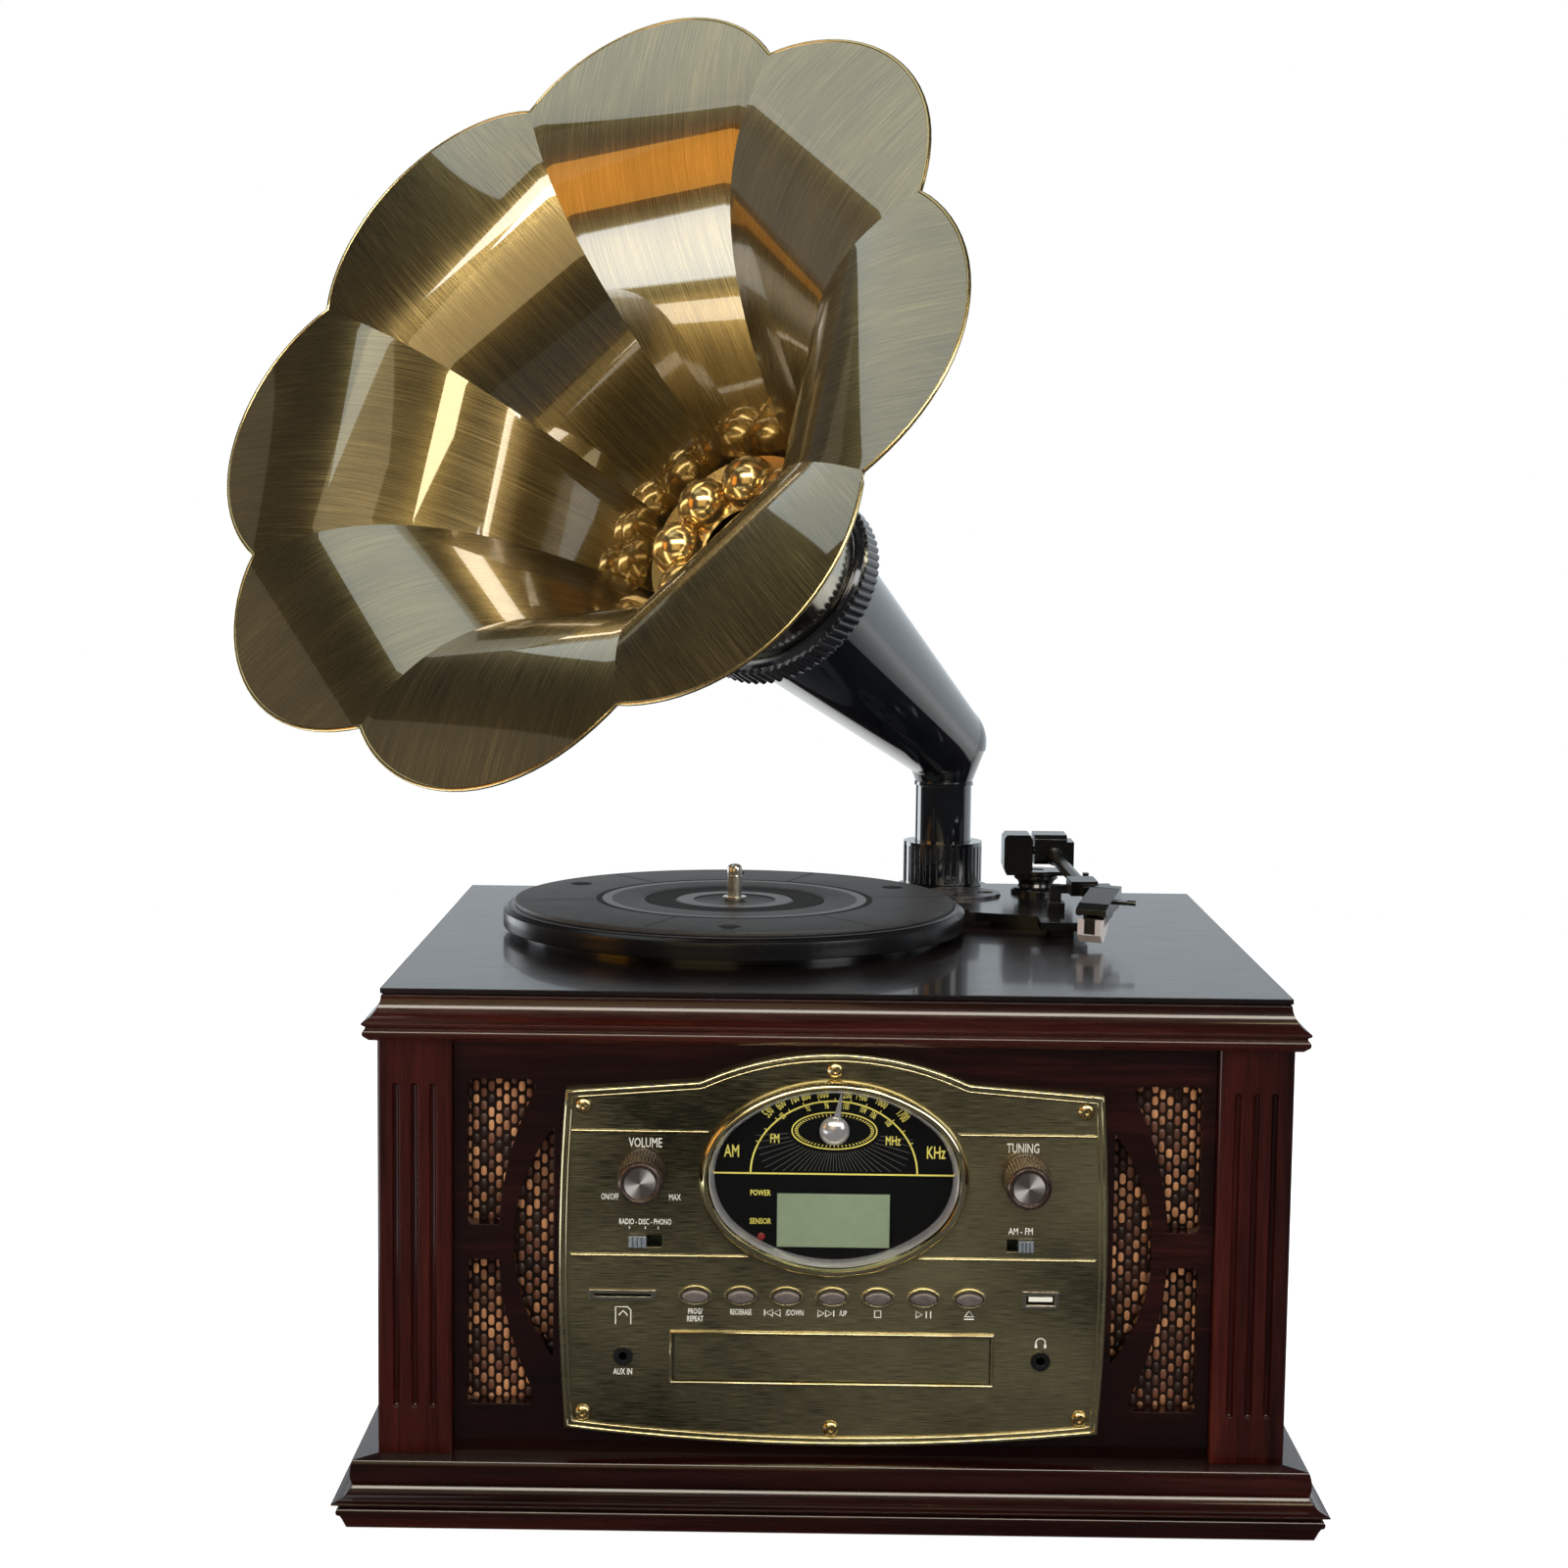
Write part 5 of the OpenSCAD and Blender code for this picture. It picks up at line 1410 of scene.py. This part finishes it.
@dataclass
class Front:
    """Faceplate with its dial, controls, sockets and printed marks."""

    palette: Palette
    plate_y: float = -155.0
    panel_y: float = -152.0
    side_r: float = 961.0
    foot_r: float = 972.0
    arch_r: float = 131.8
    half_w: float = 114.4
    foot_z: float = 33.3
    arch_top: float = 200.4
    waist_z: float = 111.6
    shoulder: Flat = (56.0, 188.0)
    corner: Flat = (119.4, 183.1)
    dial_a: float = 52.0
    dial_b: float = 37.5
    dial_z: float = 147.6
    scale_a: float = 34.8
    scale_b: float = 31.0
    line_z: float = 148.6
    line_x: float = 51.6
    line_w: float = 0.7
    hub_z: float = 167.0
    hub_ring: Flat = (17.7, 7.8)
    hub_ticks: tuple[Flat, Flat] = ((15.2, 6.2), (16.6, 7.0))
    ray_start: Flat = (19.5, 9.4)
    ray_end: float = 33.0
    ray_gap: float = 1.2
    knob_x: float = 79.5
    knob_z: float = 149.6
    ribs: int = 40
    rib_deep: float = 0.22
    button_z: float = 96.8
    button_pitch: float = 19.1
    button_a: float = 5.6
    button_b: float = 2.9
    sign_z: float = 89.9
    headphone: Flat = (87.4, 78.4)
    door_half: Flat = (67.4, 10.75)
    door_z: float = 70.4
    lamp: Flat = (-30.0, 121.8)
    marks: dict[Ink, list[bpy.types.Object]] = field(default_factory=dict)

    def ribbon(self, ink: Ink, path: Sequence[Flat], width: float, y: float) -> None:
        """A printed line.

        Args:
            ink: Its colour.
            path: Points in X and Z.
            width: The line's width.
            y: How far back it lies.
        """
        points = []
        for i, (x, z) in enumerate(path):
            before = path[max(i - 1, 0)]
            after = path[min(i + 1, len(path) - 1)]
            along = Vector((after[0] - before[0], after[1] - before[1])).normalized()
            for sign in (-0.5, 0.5):
                points.append((x - along.y * width * sign, y, z + along.x * width * sign))
        faces = [(2 * i, 2 * i + 2, 2 * i + 3, 2 * i + 1) for i in range(len(path) - 1)]
        self.marks.setdefault(ink, []).append(piece_from("mark", points, faces))

    def word(
        self, ink: Ink, text: str, x: float, z: float, size: float, y: float,
        narrow: float = 0.72, turn: float = 0.0,
    ) -> None:
        """Printed letters or figures.

        Args:
            ink: Their colour.
            text: What they say.
            x: Middle of the word.
            z: Middle of its height.
            size: Height of a capital.
            y: How far back they lie.
            narrow: Width for each height.
            turn: Lean in degrees, anticlockwise.
        """
        curve = bpy.data.curves.new("word", "FONT")
        curve.body = text
        curve.align_x = "CENTER"
        curve.align_y = "CENTER"
        curve.resolution_u = 2
        curve.offset = 0.012
        holder = bpy.data.objects.new("word", curve)
        bpy.context.scene.collection.objects.link(holder)
        bpy.context.view_layer.update()
        mesh = bpy.data.meshes.new_from_object(holder.evaluated_get(bpy.context.evaluated_depsgraph_get()))
        bpy.data.objects.remove(holder)
        capital = 0.7
        high = size / capital * MM
        lean = Matrix.Rotation(math.radians(-turn), 4, "Y")
        seat = Matrix.Translation((x * MM, y * MM, z * MM))
        mesh.transform(seat @ lean @ OUTWARD @ Matrix.Diagonal((high * narrow, high, high, 1.0)))
        made = bpy.data.objects.new("word", mesh)
        bpy.context.scene.collection.objects.link(made)
        self.marks.setdefault(ink, []).append(made)

    @staticmethod
    def oval_point(middle_z: float, degrees: float, wide: float, high: float) -> Flat:
        """A point of an oval on the middle line, in X and Z."""
        x, rise = round_point(degrees, wide, high)
        return x, middle_z + rise

    def build_dial_lines(self) -> None:
        """Scales and rays of the tuning dial."""
        y = self.panel_y - 0.06
        arc = [self.oval_point(self.line_z, t, self.scale_a, self.scale_b) for t in range(0, 181, 5)]
        self.ribbon(Ink.YELLOW, arc, self.line_w, y)
        self.ribbon(Ink.YELLOW, [(-self.line_x, self.line_z), (self.line_x, self.line_z)], self.line_w, y)
        ring = [self.oval_point(self.hub_z, t, *self.hub_ring) for t in range(0, 361, 8)]
        self.ribbon(Ink.YELLOW, ring, 0.5, y)
        for t in range(0, 360, 6):
            self.ribbon(Ink.YELLOW, [self.oval_point(self.hub_z, t, *end) for end in self.hub_ticks], 0.32, y)
        for i in range(13):
            t = 25 + i * 10.8
            tick = [self.oval_point(self.line_z, t, self.scale_a + out, self.scale_b + up)
                    for out, up in ((0.0, 0.0), (1.4, 1.3))]
            self.ribbon(Ink.YELLOW, tick, 0.35, y)
        for t in range(-176, -3, 5):
            cos_t, sin_t = round_point(t)
            begin = 1.0 / math.hypot(cos_t / self.ray_start[0], sin_t / self.ray_start[1])
            end = min(self.ray_end, (self.hub_z - self.line_z - self.ray_gap) / max(-sin_t, 0.03))
            if end > begin:
                ray = [self.oval_point(self.hub_z, t, begin, begin), self.oval_point(self.hub_z, t, end, end)]
                self.ribbon(Ink.DIM, ray, 0.22, y)

    def build_dial_words(self) -> None:
        """Figures and words of the tuning dial."""
        y = self.panel_y - 0.06
        for size, narrow, figures in (
            (4.2, 0.43, (
                ("530", -27.6, 174.6, 52), ("600", -22.6, 177.9, 44), ("700", -17.0, 180.4, 30),
                ("800", -12.2, 181.7, 18), ("1000", -5.2, 182.6, 6), ("1200", 4.6, 182.6, -4),
                ("1400", 11.2, 181.9, -14), ("1600", 19.6, 179.3, -32), ("1700", 28.3, 173.9, -52),
            )),
            (2.8, 0.46, (
                ("88", -21.6, 173.0, 50), ("92", -11.2, 176.4, 20), ("96", -3.4, 177.6, 4),
                ("100", 4.6, 177.4, -6), ("104", 11.8, 176.0, -22), ("106", 16.0, 173.8, -32),
                ("108", 22.4, 170.6, -50),
            )),
        ):
            for text, x, z, turn in figures:
                self.word(Ink.YELLOW, text, x, z, size, y, narrow, turn)
        for text, x, z, size, narrow in (
            ("AM", -42.6, 157.7, 5.2, 0.6), ("FM", -24.8, 163.3, 3.9, 0.6),
            ("MHz", 24.4, 162.9, 3.9, 0.6), ("KHz", 42.4, 158.0, 5.2, 0.6),
            ("POWER", -30.6, 140.2, 2.4, 0.72), ("SENSOR", -30.5, 128.1, 2.4, 0.72),
        ):
            self.word(Ink.YELLOW, text, x, z, size, y, narrow)

    def build_plate_words(self) -> None:
        """Words on the faceplate."""
        for text, x, z, size, narrow in (
            ("VOLUME", -78.5, 161.5, 4.0, 0.62), ("TUNING", 78.5, 161.1, 4.0, 0.62),
            ("ON/OFF", -93.2, 138.5, 2.6, 0.55), ("MAX", -66.2, 138.5, 2.6, 0.62),
            ("RADIO - DISC - PHONO", -78.4, 128.0, 2.4, 0.6), ("AM - FM", 78.2, 125.9, 2.8, 0.72),
            ("AUX IN", -87.4, 63.7, 2.7, 0.62), ("PROG/", -57.3, 90.0, 2.4, 0.6),
            ("REPEAT", -57.3, 86.8, 2.4, 0.6), ("REC/ERASE", -38.2, 89.9, 2.4, 0.55),
            ("/DOWN", -15.6, 89.9, 2.4, 0.6), ("/UP", 4.6, 89.9, 2.4, 0.6),
        ):
            self.word(Ink.PALE, text, x, z, size, self.plate_y - 0.05, narrow)

    def build_signs(self) -> None:
        """Signs on the faceplate: skip, stop, pause, eject, card, headphones and the switch's places."""
        y, z = self.plate_y - 0.05, self.sign_z
        for x, way in ((-26.2, -1), (-23.0, -1), (-4.6, 1), (-1.4, 1), (36.4, 1)):
            back, tip = x - way * 1.3, x + way * 1.4
            self.ribbon(Ink.PALE, [(back, z - 1.4), (tip, z), (back, z + 1.4), (back, z - 1.7)], 0.38, y)
        ear_x, ear_z = self.headphone
        for path, width in (
            ([(-28.2, z - 1.3), (-28.2, z + 1.3)], 0.5),
            ([(0.7, z - 1.3), (0.7, z + 1.3)], 0.5),
            ([(17.8, z - 1.4), (20.4, z - 1.4), (20.4, z + 1.4), (17.8, z + 1.4), (17.8, z - 1.7)], 0.45),
            *(([(x, z - 1.5), (x, z + 1.5)], 0.5) for x in (39.4, 41.2)),
            ([(55.4, z - 0.6), (57.3, z + 1.8), (59.2, z - 0.6), (55.2, z - 0.6)], 0.4),
            ([(55.2, z - 1.7), (59.4, z - 1.7)], 0.5),
            ([(-90.6, 84.2), (-90.6, 91.6), (-85.6, 91.6), (-84.2, 90.2), (-84.2, 84.2)], 0.45),
            ([(-89.2, 88.0), (-87.4, 90.0), (-85.6, 88.0)], 0.5),
            ([(ear_x + a, ear_z + b) for a, b in (round_point(t, 2.0) for t in range(-20, 201, 20))], 0.45),
            *(([(ear_x + a, ear_z - 0.5), (ear_x + a, ear_z - 2.2)], 1.0) for a in (-1.9, 1.9)),
            *(([(x, 124.9), (x, 126.1)], 0.35) for x in (-85.0, -78.4, -73.0)),
        ):
            self.ribbon(Ink.PALE, path, width, y)
        tongue_z = self.button_z + 0.4
        self.ribbon(Ink.PALE, [(82.0, tongue_z), (92.0, tongue_z)], 2.0, self.plate_y - 0.3)

    def loft(
        self, name: str, rings: Sequence[Flat], half: Flat, middle: Flat, finish: str,
        body: str = "cabinet", nodes: Sequence[str] = (), cap: bool = False, steps: int = 160,
    ) -> None:
        """Lofts ovals of growing size out of the faceplate.

        Args:
            name: The object's name.
            rings: How much wider and how far back each oval is.
            half: Half of the oval's width and height.
            middle: X and Z of its middle.
            finish: The finish.
            body: The body that it rides on.
            nodes: The nodes that it stands for.
            cap: Whether the last oval is filled.
            steps: Points in an oval.
        """
        points = []
        for grow, deep in rings:
            for x, z in oval_points(half[0] + grow, half[1] + grow, steps):
                points.append((middle[0] + x, self.plate_y + deep, middle[1] + z))
        faces = grid_faces(len(rings), steps, closed=True)
        if cap:
            faces.append(tuple((len(rings) - 1) * steps + j for j in range(steps)))
        self.palette.fit(piece_from(name, points, faces, sharp=38.0), finish, body, *nodes)

    def build_bezel(self) -> None:
        """Rounded dial ring with a darker inner slope."""
        half, middle = (self.dial_a, self.dial_b), (0.0, self.dial_z)
        ring = [(4.4, 0.0), (4.35, -1.6), (4.0, -3.0), (3.3, -4.4), (2.4, -5.2), (1.6, -5.5), (0.9, -5.3),
                (0.3, -4.4), (0.0, -2.6), (0.0, 0.0)]
        self.loft("dial_ring", ring, half, middle, "trim_gold", nodes=("dial_bezel",))
        slope = [(0.0, -2.2), (-0.9, -1.2), (-1.9, 1.2), (-2.2, 2.9)]
        self.loft("dial_slope", slope, half, middle, "boss_chrome")

    def build_buttons(self) -> None:
        """Seven cushioned caps in bright rims."""
        half = (self.button_a, self.button_b)
        cap = [(1.0, 4.6), (1.0, 3.35), (0.0, 3.3), (0.0, -0.9), (-0.2, -1.5), (-0.7, -1.9), (-1.5, -2.05),
               (-2.2, -2.1)]
        rim = [(1.45, 0.0), (1.4, -0.7), (1.1, -1.15), (0.75, -1.2), (0.45, -0.9), (0.35, 0.0)]
        for i in range(1, 8):
            middle = ((i - 4) * self.button_pitch, self.button_z)
            self.loft("button_cap_%d" % i, cap, half, middle, "button_brown", "button_%d_unit" % i,
                      ("button_%d" % i,), cap=True, steps=64)
            self.loft("button_rim_%d" % i, rim, half, middle, "trim_gold", steps=64)

    def build_knobs(self) -> None:
        """Two ribbed knobs with spun faces."""
        root = 0.4 - self.plate_y
        low, top = root + 5.8, root + 19.4
        skirt = [(radius, root + out) for radius, out in (
            (3.0, -19.0), (3.0, 0.0), (9.9, 0.0), (10.1, 0.3), (10.1, 4.8), (9.8, 5.6), (9.6, 6.0),
            (9.35, 19.2), (9.1, 20.6), (8.6, 21.5), (8.0, 21.9), (7.4, 21.8), (7.2, 21.4), (6.6, 21.3),
            (6.6, 21.2), (0.0, 21.2),
        )]
        turned = [(6.3 - 0.15 * i, root + 21.54 + 0.022 * (-1) ** i) for i in range(41)]
        spun = [(6.5, root + 21.25), *turned, (0.0, root + 21.56)]

        def ribbed(radius: float, height: float, angle: float) -> float:
            """Radius with fine ribs between two heights."""
            return radius + self.rib_deep * math.cos(self.ribs * angle) if low < height < top else radius

        for side, kind in ((Side.LEFT, "volume"), (Side.RIGHT, "tuning")):
            place = Matrix.Translation((side.value * self.knob_x, 0.0, self.knob_z)) @ OUTWARD
            body = kind + "_unit"
            knob = lathe("knob_" + kind, skirt, place, steps=240, ripple=ribbed, sharp=40.0)
            self.palette.fit(knob, "knob_bronze", body, kind + "_knob")
            face = lathe("knob_face_" + kind, spun, place, steps=96, sharp=50.0)
            self.palette.fit(face, "knob_face", body)

    def outline(self, inset: float) -> list[Flat]:
        """Outline of the faceplate in X and Z.

        Args:
            inset: How far inside the edge it runs.

        Returns:
            The points, anticlockwise from the middle of the foot.
        """
        side_r, foot_r, arch_r = self.side_r - inset, self.foot_r - inset, self.arch_r - inset
        side_x, foot_z = self.half_w - self.side_r, self.foot_z + self.foot_r
        arch_z = self.arch_top - self.arch_r
        (inner_x, inner_z), (outer_x, outer_z) = self.shoulder, self.corner
        inner_z, outer_z = inner_z - inset, outer_z - inset

        def side(z: float) -> float:
            """Reach of the bowed side at a height."""
            return side_x + math.sqrt(side_r ** 2 - (z - self.waist_z) ** 2)

        def foot(x: float) -> float:
            """Height of the bowed foot."""
            return foot_z - math.sqrt(foot_r ** 2 - x ** 2)

        def arch(x: float) -> float:
            """Height of the arch over the dial."""
            return arch_z + math.sqrt(arch_r ** 2 - x ** 2)

        slope = (outer_z - inner_z) / (outer_x - inner_x)
        foot_x, top_z = 110.0, 180.0
        for _ in range(12):
            foot_x = side(foot(foot_x))
            top_z = inner_z + slope * (side(top_z) - inner_x)
        low_z, top_x = foot(foot_x), side(top_z)
        steps, few = 24, 8
        half = [(x, foot(x)) for x in (foot_x * i / steps for i in range(steps))]
        half += [(side(z), z) for z in (low_z + (top_z - low_z) * i / steps for i in range(steps + 1))]
        for i in range(1, few + 1):
            half.append((top_x + (inner_x - top_x) * i / few, top_z + (inner_z - top_z) * i / few))
        half += [(x, arch(x)) for x in (inner_x * (1 - i / steps) for i in range(1, steps))]
        return half + [(0.0, arch_z + arch_r)] + [(-x, z) for x, z in reversed(half[1:])]

    def build_trim(self) -> None:
        """Bright edges of the faceplate, its rules and the tray's frame."""
        front = self.plate_y
        corners = ((-1, -1), (0, -1), (1, -1), (1, 0), (1, 1), (0, 1), (-1, 1), (-1, 0))
        door = [(a * self.door_half[0], front - 1.0, self.door_z + b * self.door_half[1]) for a, b in corners]
        strips = [
            tube("trim_outer", [(x, front - 1.05, z) for x, z in self.outline(inset=0.95)], radius=0.8),
            tube("trim_inner", [(x, front - 0.9, z) for x, z in self.outline(inset=3.1)], radius=0.4),
            tube("trim_door", door, radius=0.6),
        ]
        for z, inner in ((113.8, 35.4), (166.6, 52.4)):
            for side in Side:
                rule = [(side.value * x, front - 0.55, z) for x in (inner, 80.0, 109.3)]
                strips.append(tube("trim_rule", rule, radius=0.42, closed=False))
        self.palette.fit(joined("plate_trim", strips), "trim_gold", "cabinet")

    def build_screws(self) -> None:
        """Domed brass screws."""
        dome = [(3.5, 0.0), (3.45, 0.4), (3.1, 1.0), (2.5, 1.5), (1.7, 1.85), (1.15, 1.95), (1.0, 1.7),
                (1.0, 0.8), (0.0, 0.8)]
        spots = ((-104.4, 177.2), (0.0, 193.3), (104.4, 177.2), (-104.2, 46.0), (0.0, 40.4), (104.2, 46.0))
        parts = []
        for x, z in spots:
            place = Matrix.Translation((x, self.plate_y, z)) @ OUTWARD
            parts.append(lathe("screw", dome, place, steps=40, sharp=50.0))
        self.palette.fit(joined("plate_screws", parts), "edge_brass", "cabinet", "faceplate_screws")

    def build_lamp(self) -> None:
        """Red lens of the sensor's lamp."""
        place = Matrix.Translation((self.lamp[0], self.panel_y - 0.3, self.lamp[1])) @ OUTWARD
        lens = lathe("sensor_lamp", [(1.6, 0.0), (1.5, 0.2), (0.9, 0.5), (0.0, 0.6)], place, steps=24)
        self.palette.fit(lens, "lamp_red", "cabinet")

    def build(self) -> None:
        """Builds and dresses the front."""
        self.build_dial_lines()
        self.build_dial_words()
        self.build_plate_words()
        self.build_signs()
        self.build_bezel()
        self.build_buttons()
        self.build_knobs()
        self.build_screws()
        self.build_trim()
        self.build_lamp()
        for ink, parts in self.marks.items():
            self.palette.fit(joined("marks_" + ink.name.lower(), parts), ink.value, "cabinet")
        self.palette.dress_nodes({
            "antique_brass": ("faceplate", "tray_door"),
            "dial_black": ("dial_plate",),
            "clear_glass": ("dial_glass",),
            "lcd": ("display",),
            "socket_metal": ("card_slot", "usb_socket"),
            "black_plastic": ("jack_sockets", "disc_tray"),
            "circuit_green": ("control_board",),
            "steel": ("disc_loader",),
            "boss_chrome": ("dial_pointer",),
            "silver_plastic": ("function_slider", "band_slider"),
        })


# Studio


@dataclass(frozen=True)
class SoftBox:
    """A soft rectangular lamp, with its sizes in metres and its power in watts."""

    name: str
    place: Point
    size: Flat
    power: float
    aim: Point = (0.0, 0.0, 0.25)
    colour: Point = (1.0, 1.0, 1.0)
    gloss: bool = True
    matt: bool = True

    def build(self) -> None:
        """Adds the lamp; shiny surfaces show it if gloss is set, matt ones are lit if matt is."""
        light = bpy.data.lights.new(self.name, "AREA")
        light.color = self.colour
        light.shape = "RECTANGLE"
        light.size, light.size_y = self.size
        light.energy = self.power
        holder = bpy.data.objects.new(self.name, light)
        bpy.context.scene.collection.objects.link(holder)
        holder.visible_camera = False
        holder.visible_glossy = self.gloss
        holder.visible_diffuse = self.matt
        holder.location = self.place
        holder.rotation_euler = (Vector(self.aim) - Vector(self.place)).to_track_quat("-Z", "Y").to_euler()


HORN_MOUTH = (-0.04, -0.03, 0.47)
LAMPS = (
    SoftBox("key", (-1.7, -1.6, 1.9), (1.2, 1.2), 18.0, gloss=False),
    SoftBox("fill", (1.9, -1.4, 1.3), (1.0, 1.6), 18.0),
    SoftBox("top", (0.1, 0.2, 2.2), (1.4, 1.0), 16.0, gloss=False),
    SoftBox("canopy", (-0.242, 0.062, 0.99), (0.604, 0.505), 0.98, (0.4597, 0.0596, 0.2776),
            (0.9, 1.0, 0.96)),
    SoftBox("glint", (-1.01, -1.23, 1.4), (0.22, 0.3), 0.9, HORN_MOUTH, (1.0, 0.95, 0.85)),
    SoftBox("gold_wall", (-0.52, -1.94, 0.82), (1.2, 0.85), 3.2, HORN_MOUTH, (1.0, 0.76, 0.36)),
    SoftBox("strip", (0.0, -1.7, 1.55), (2.4, 0.4), 46.0, (0.0, -0.1, 0.2), (1.0, 0.93, 0.78), matt=False),
    SoftBox("back_left", (-0.93, 0.77, 0.3), (0.5, 0.5), 2.4, (0.03, 0.1, 0.33), (0.9, 0.96, 1.0)),
    SoftBox("tan_wall", (-0.57, -0.95, 1.93), (1.1, 0.32), 0.6, HORN_MOUTH, (1.0, 0.84, 0.5)),
    SoftBox("gold_spot", (0.6, -0.94, 1.89), (0.25, 0.25), 1.2, HORN_MOUTH, (1.0, 0.85, 0.5)),
    SoftBox("card", (-0.92, -0.43, 0.03), (0.7, 1.0), 5.0, (-0.9, -0.42, 1.0), (0.84, 0.93, 1.0)),
    SoftBox("left_wall", (-2.2, 0.1, 1.05), (2.0, 1.7), 1.7, HORN_MOUTH, (1.0, 0.86, 0.58)),
    SoftBox("warm", (-1.47, -0.68, 0.68), (0.5, 0.78), 2.3, (-0.08, -0.05, 0.6), (1.0, 0.42, 0.05)),
)


@dataclass
class Studio:
    """White room, soft lamps and the camera."""

    focal_px: float = 2735.03
    image_px: float = 1600.0
    sensor: float = 36.0
    eye: Point = (-16.0, -1248.7, 421.4)
    yaw: float = -0.0061
    pitch: float = 0.0995
    roll: float = 0.0116
    white: Point = (1.0, 1.0, 1.0)
    pale: Point = (0.62, 0.68, 0.72)
    dusk: Point = (0.03, 0.028, 0.026)
    ambient: Point = (0.5, 0.52, 0.54)
    floor_pale: Point = (0.86, 0.86, 0.86)
    floor_dim: Point = (0.08, 0.08, 0.08)
    floor_glow: float = 0.62
    floor_r: float = 1700.0
    floor_drop: float = 0.3

    def build_camera(self) -> None:
        """Sets the camera where the photograph was taken from."""
        flat = math.cos(self.pitch)
        forward = Vector((math.sin(self.yaw) * flat, math.cos(self.yaw) * flat, -math.sin(self.pitch)))
        right = Vector((math.cos(self.yaw), -math.sin(self.yaw), 0.0))
        up = right.cross(forward)
        c, s = math.cos(self.roll), math.sin(self.roll)
        camera = bpy.data.cameras.new("camera")
        camera.sensor_width = self.sensor
        camera.sensor_fit = "HORIZONTAL"
        camera.lens = self.focal_px / self.image_px * self.sensor
        camera.clip_start = 0.05
        camera.clip_end = 60.0
        holder = bpy.data.objects.new("camera", camera)
        bpy.context.scene.collection.objects.link(holder)
        turn = Matrix((right * c + up * s, up * c - right * s, -forward)).transposed().to_4x4()
        holder.matrix_world = Matrix.Translation(Vector(self.eye) * MM) @ turn
        bpy.context.scene.camera = holder

    def build_world(self) -> None:
        """White behind the object, a pale backdrop in a dim room for gloss, soft grey for the rest."""
        graph = Graph(bpy.data.worlds.new("room"))
        bpy.context.scene.world = graph.owner
        way = graph.node("ShaderNodeTexCoord", out="Generated")
        behind = graph.slide(graph.part(way, "Y"), -0.02, 0.22, 0.0, 1.0)
        rightward = graph.slide(graph.part(way, "X"), -0.42, -0.26, 0.1, 1.0)
        low = graph.slide(graph.part(way, "Z"), 0.3, 0.5, 1.0, 0.0)
        backdrop = graph.ramp(behind * rightward * low, [(0.0, self.dusk), (1.0, self.pale)])
        white, room, soft = (
            graph.node("ShaderNodeBackground", None, {"Color": colour})
            for colour in (self.white, backdrop, self.ambient)
        )
        shown = graph.node("ShaderNodeMath", {"operation": "MAXIMUM"}, {
            0: graph.ray("Camera"), 1: graph.ray("Transmission"),
        })
        unseen = graph.node("ShaderNodeMixShader", None, {0: graph.ray("Glossy"), 1: soft, 2: room})
        graph.end(graph.node("ShaderNodeMixShader", None, {0: shown, 1: unseen, 2: white}))

    def build_floor(self) -> None:
        """Pale table that keeps the object's shadow, dim for gloss where the horn would show it."""
        graph = Graph(bpy.data.materials.new("floor_white"))
        where = graph.place((1.0, 1.0, 1.0))
        near = graph.slide(graph.part(where, "Y"), 0.1, 0.5, 1.0, 0.0)
        ahead = near * graph.slide(graph.part(where, "X"), -0.6, -0.35, 0.0, 1.0)
        pale = graph.node("ShaderNodeBsdfDiffuse", None, {"Color": self.floor_pale})
        dim = graph.node("ShaderNodeBsdfDiffuse", None, {"Color": self.floor_dim})
        glow = graph.node("ShaderNodeEmission", None, {"Color": self.white, "Strength": self.floor_glow})
        lifted = graph.node("ShaderNodeAddShader", None, {0: pale, 1: glow})
        direct = graph.node("ShaderNodeMixShader", None, {0: graph.ray("Camera"), 1: pale, 2: lifted})
        hidden = ahead * graph.ray("Glossy")
        graph.end(graph.node("ShaderNodeMixShader", None, {0: hidden, 1: direct, 2: dim}))
        sides = 96
        rim = [(*round_point(360 * i / sides, self.floor_r), -self.floor_drop) for i in range(sides)]
        floor = piece_from("floor", rim, [tuple(range(sides))])
        floor.data.materials.append(graph.owner)

    def build(self) -> None:
        """Builds the whole studio."""
        self.build_camera()
        self.build_world()
        self.build_floor()
        for lamp in LAMPS:
            lamp.build()
        bpy.context.scene.view_settings.view_transform = "Standard"


def main() -> None:
    """Builds the studio and every sub-assembly."""
    logging.basicConfig(level=logging.INFO, format="%(message)s")
    palette = Palette()
    Studio().build()
    Cabinet(palette).build()
    Horn(palette).build()
    Turntable(palette).build()
    Front(palette).build()


if __name__ == "__main__":
    main()
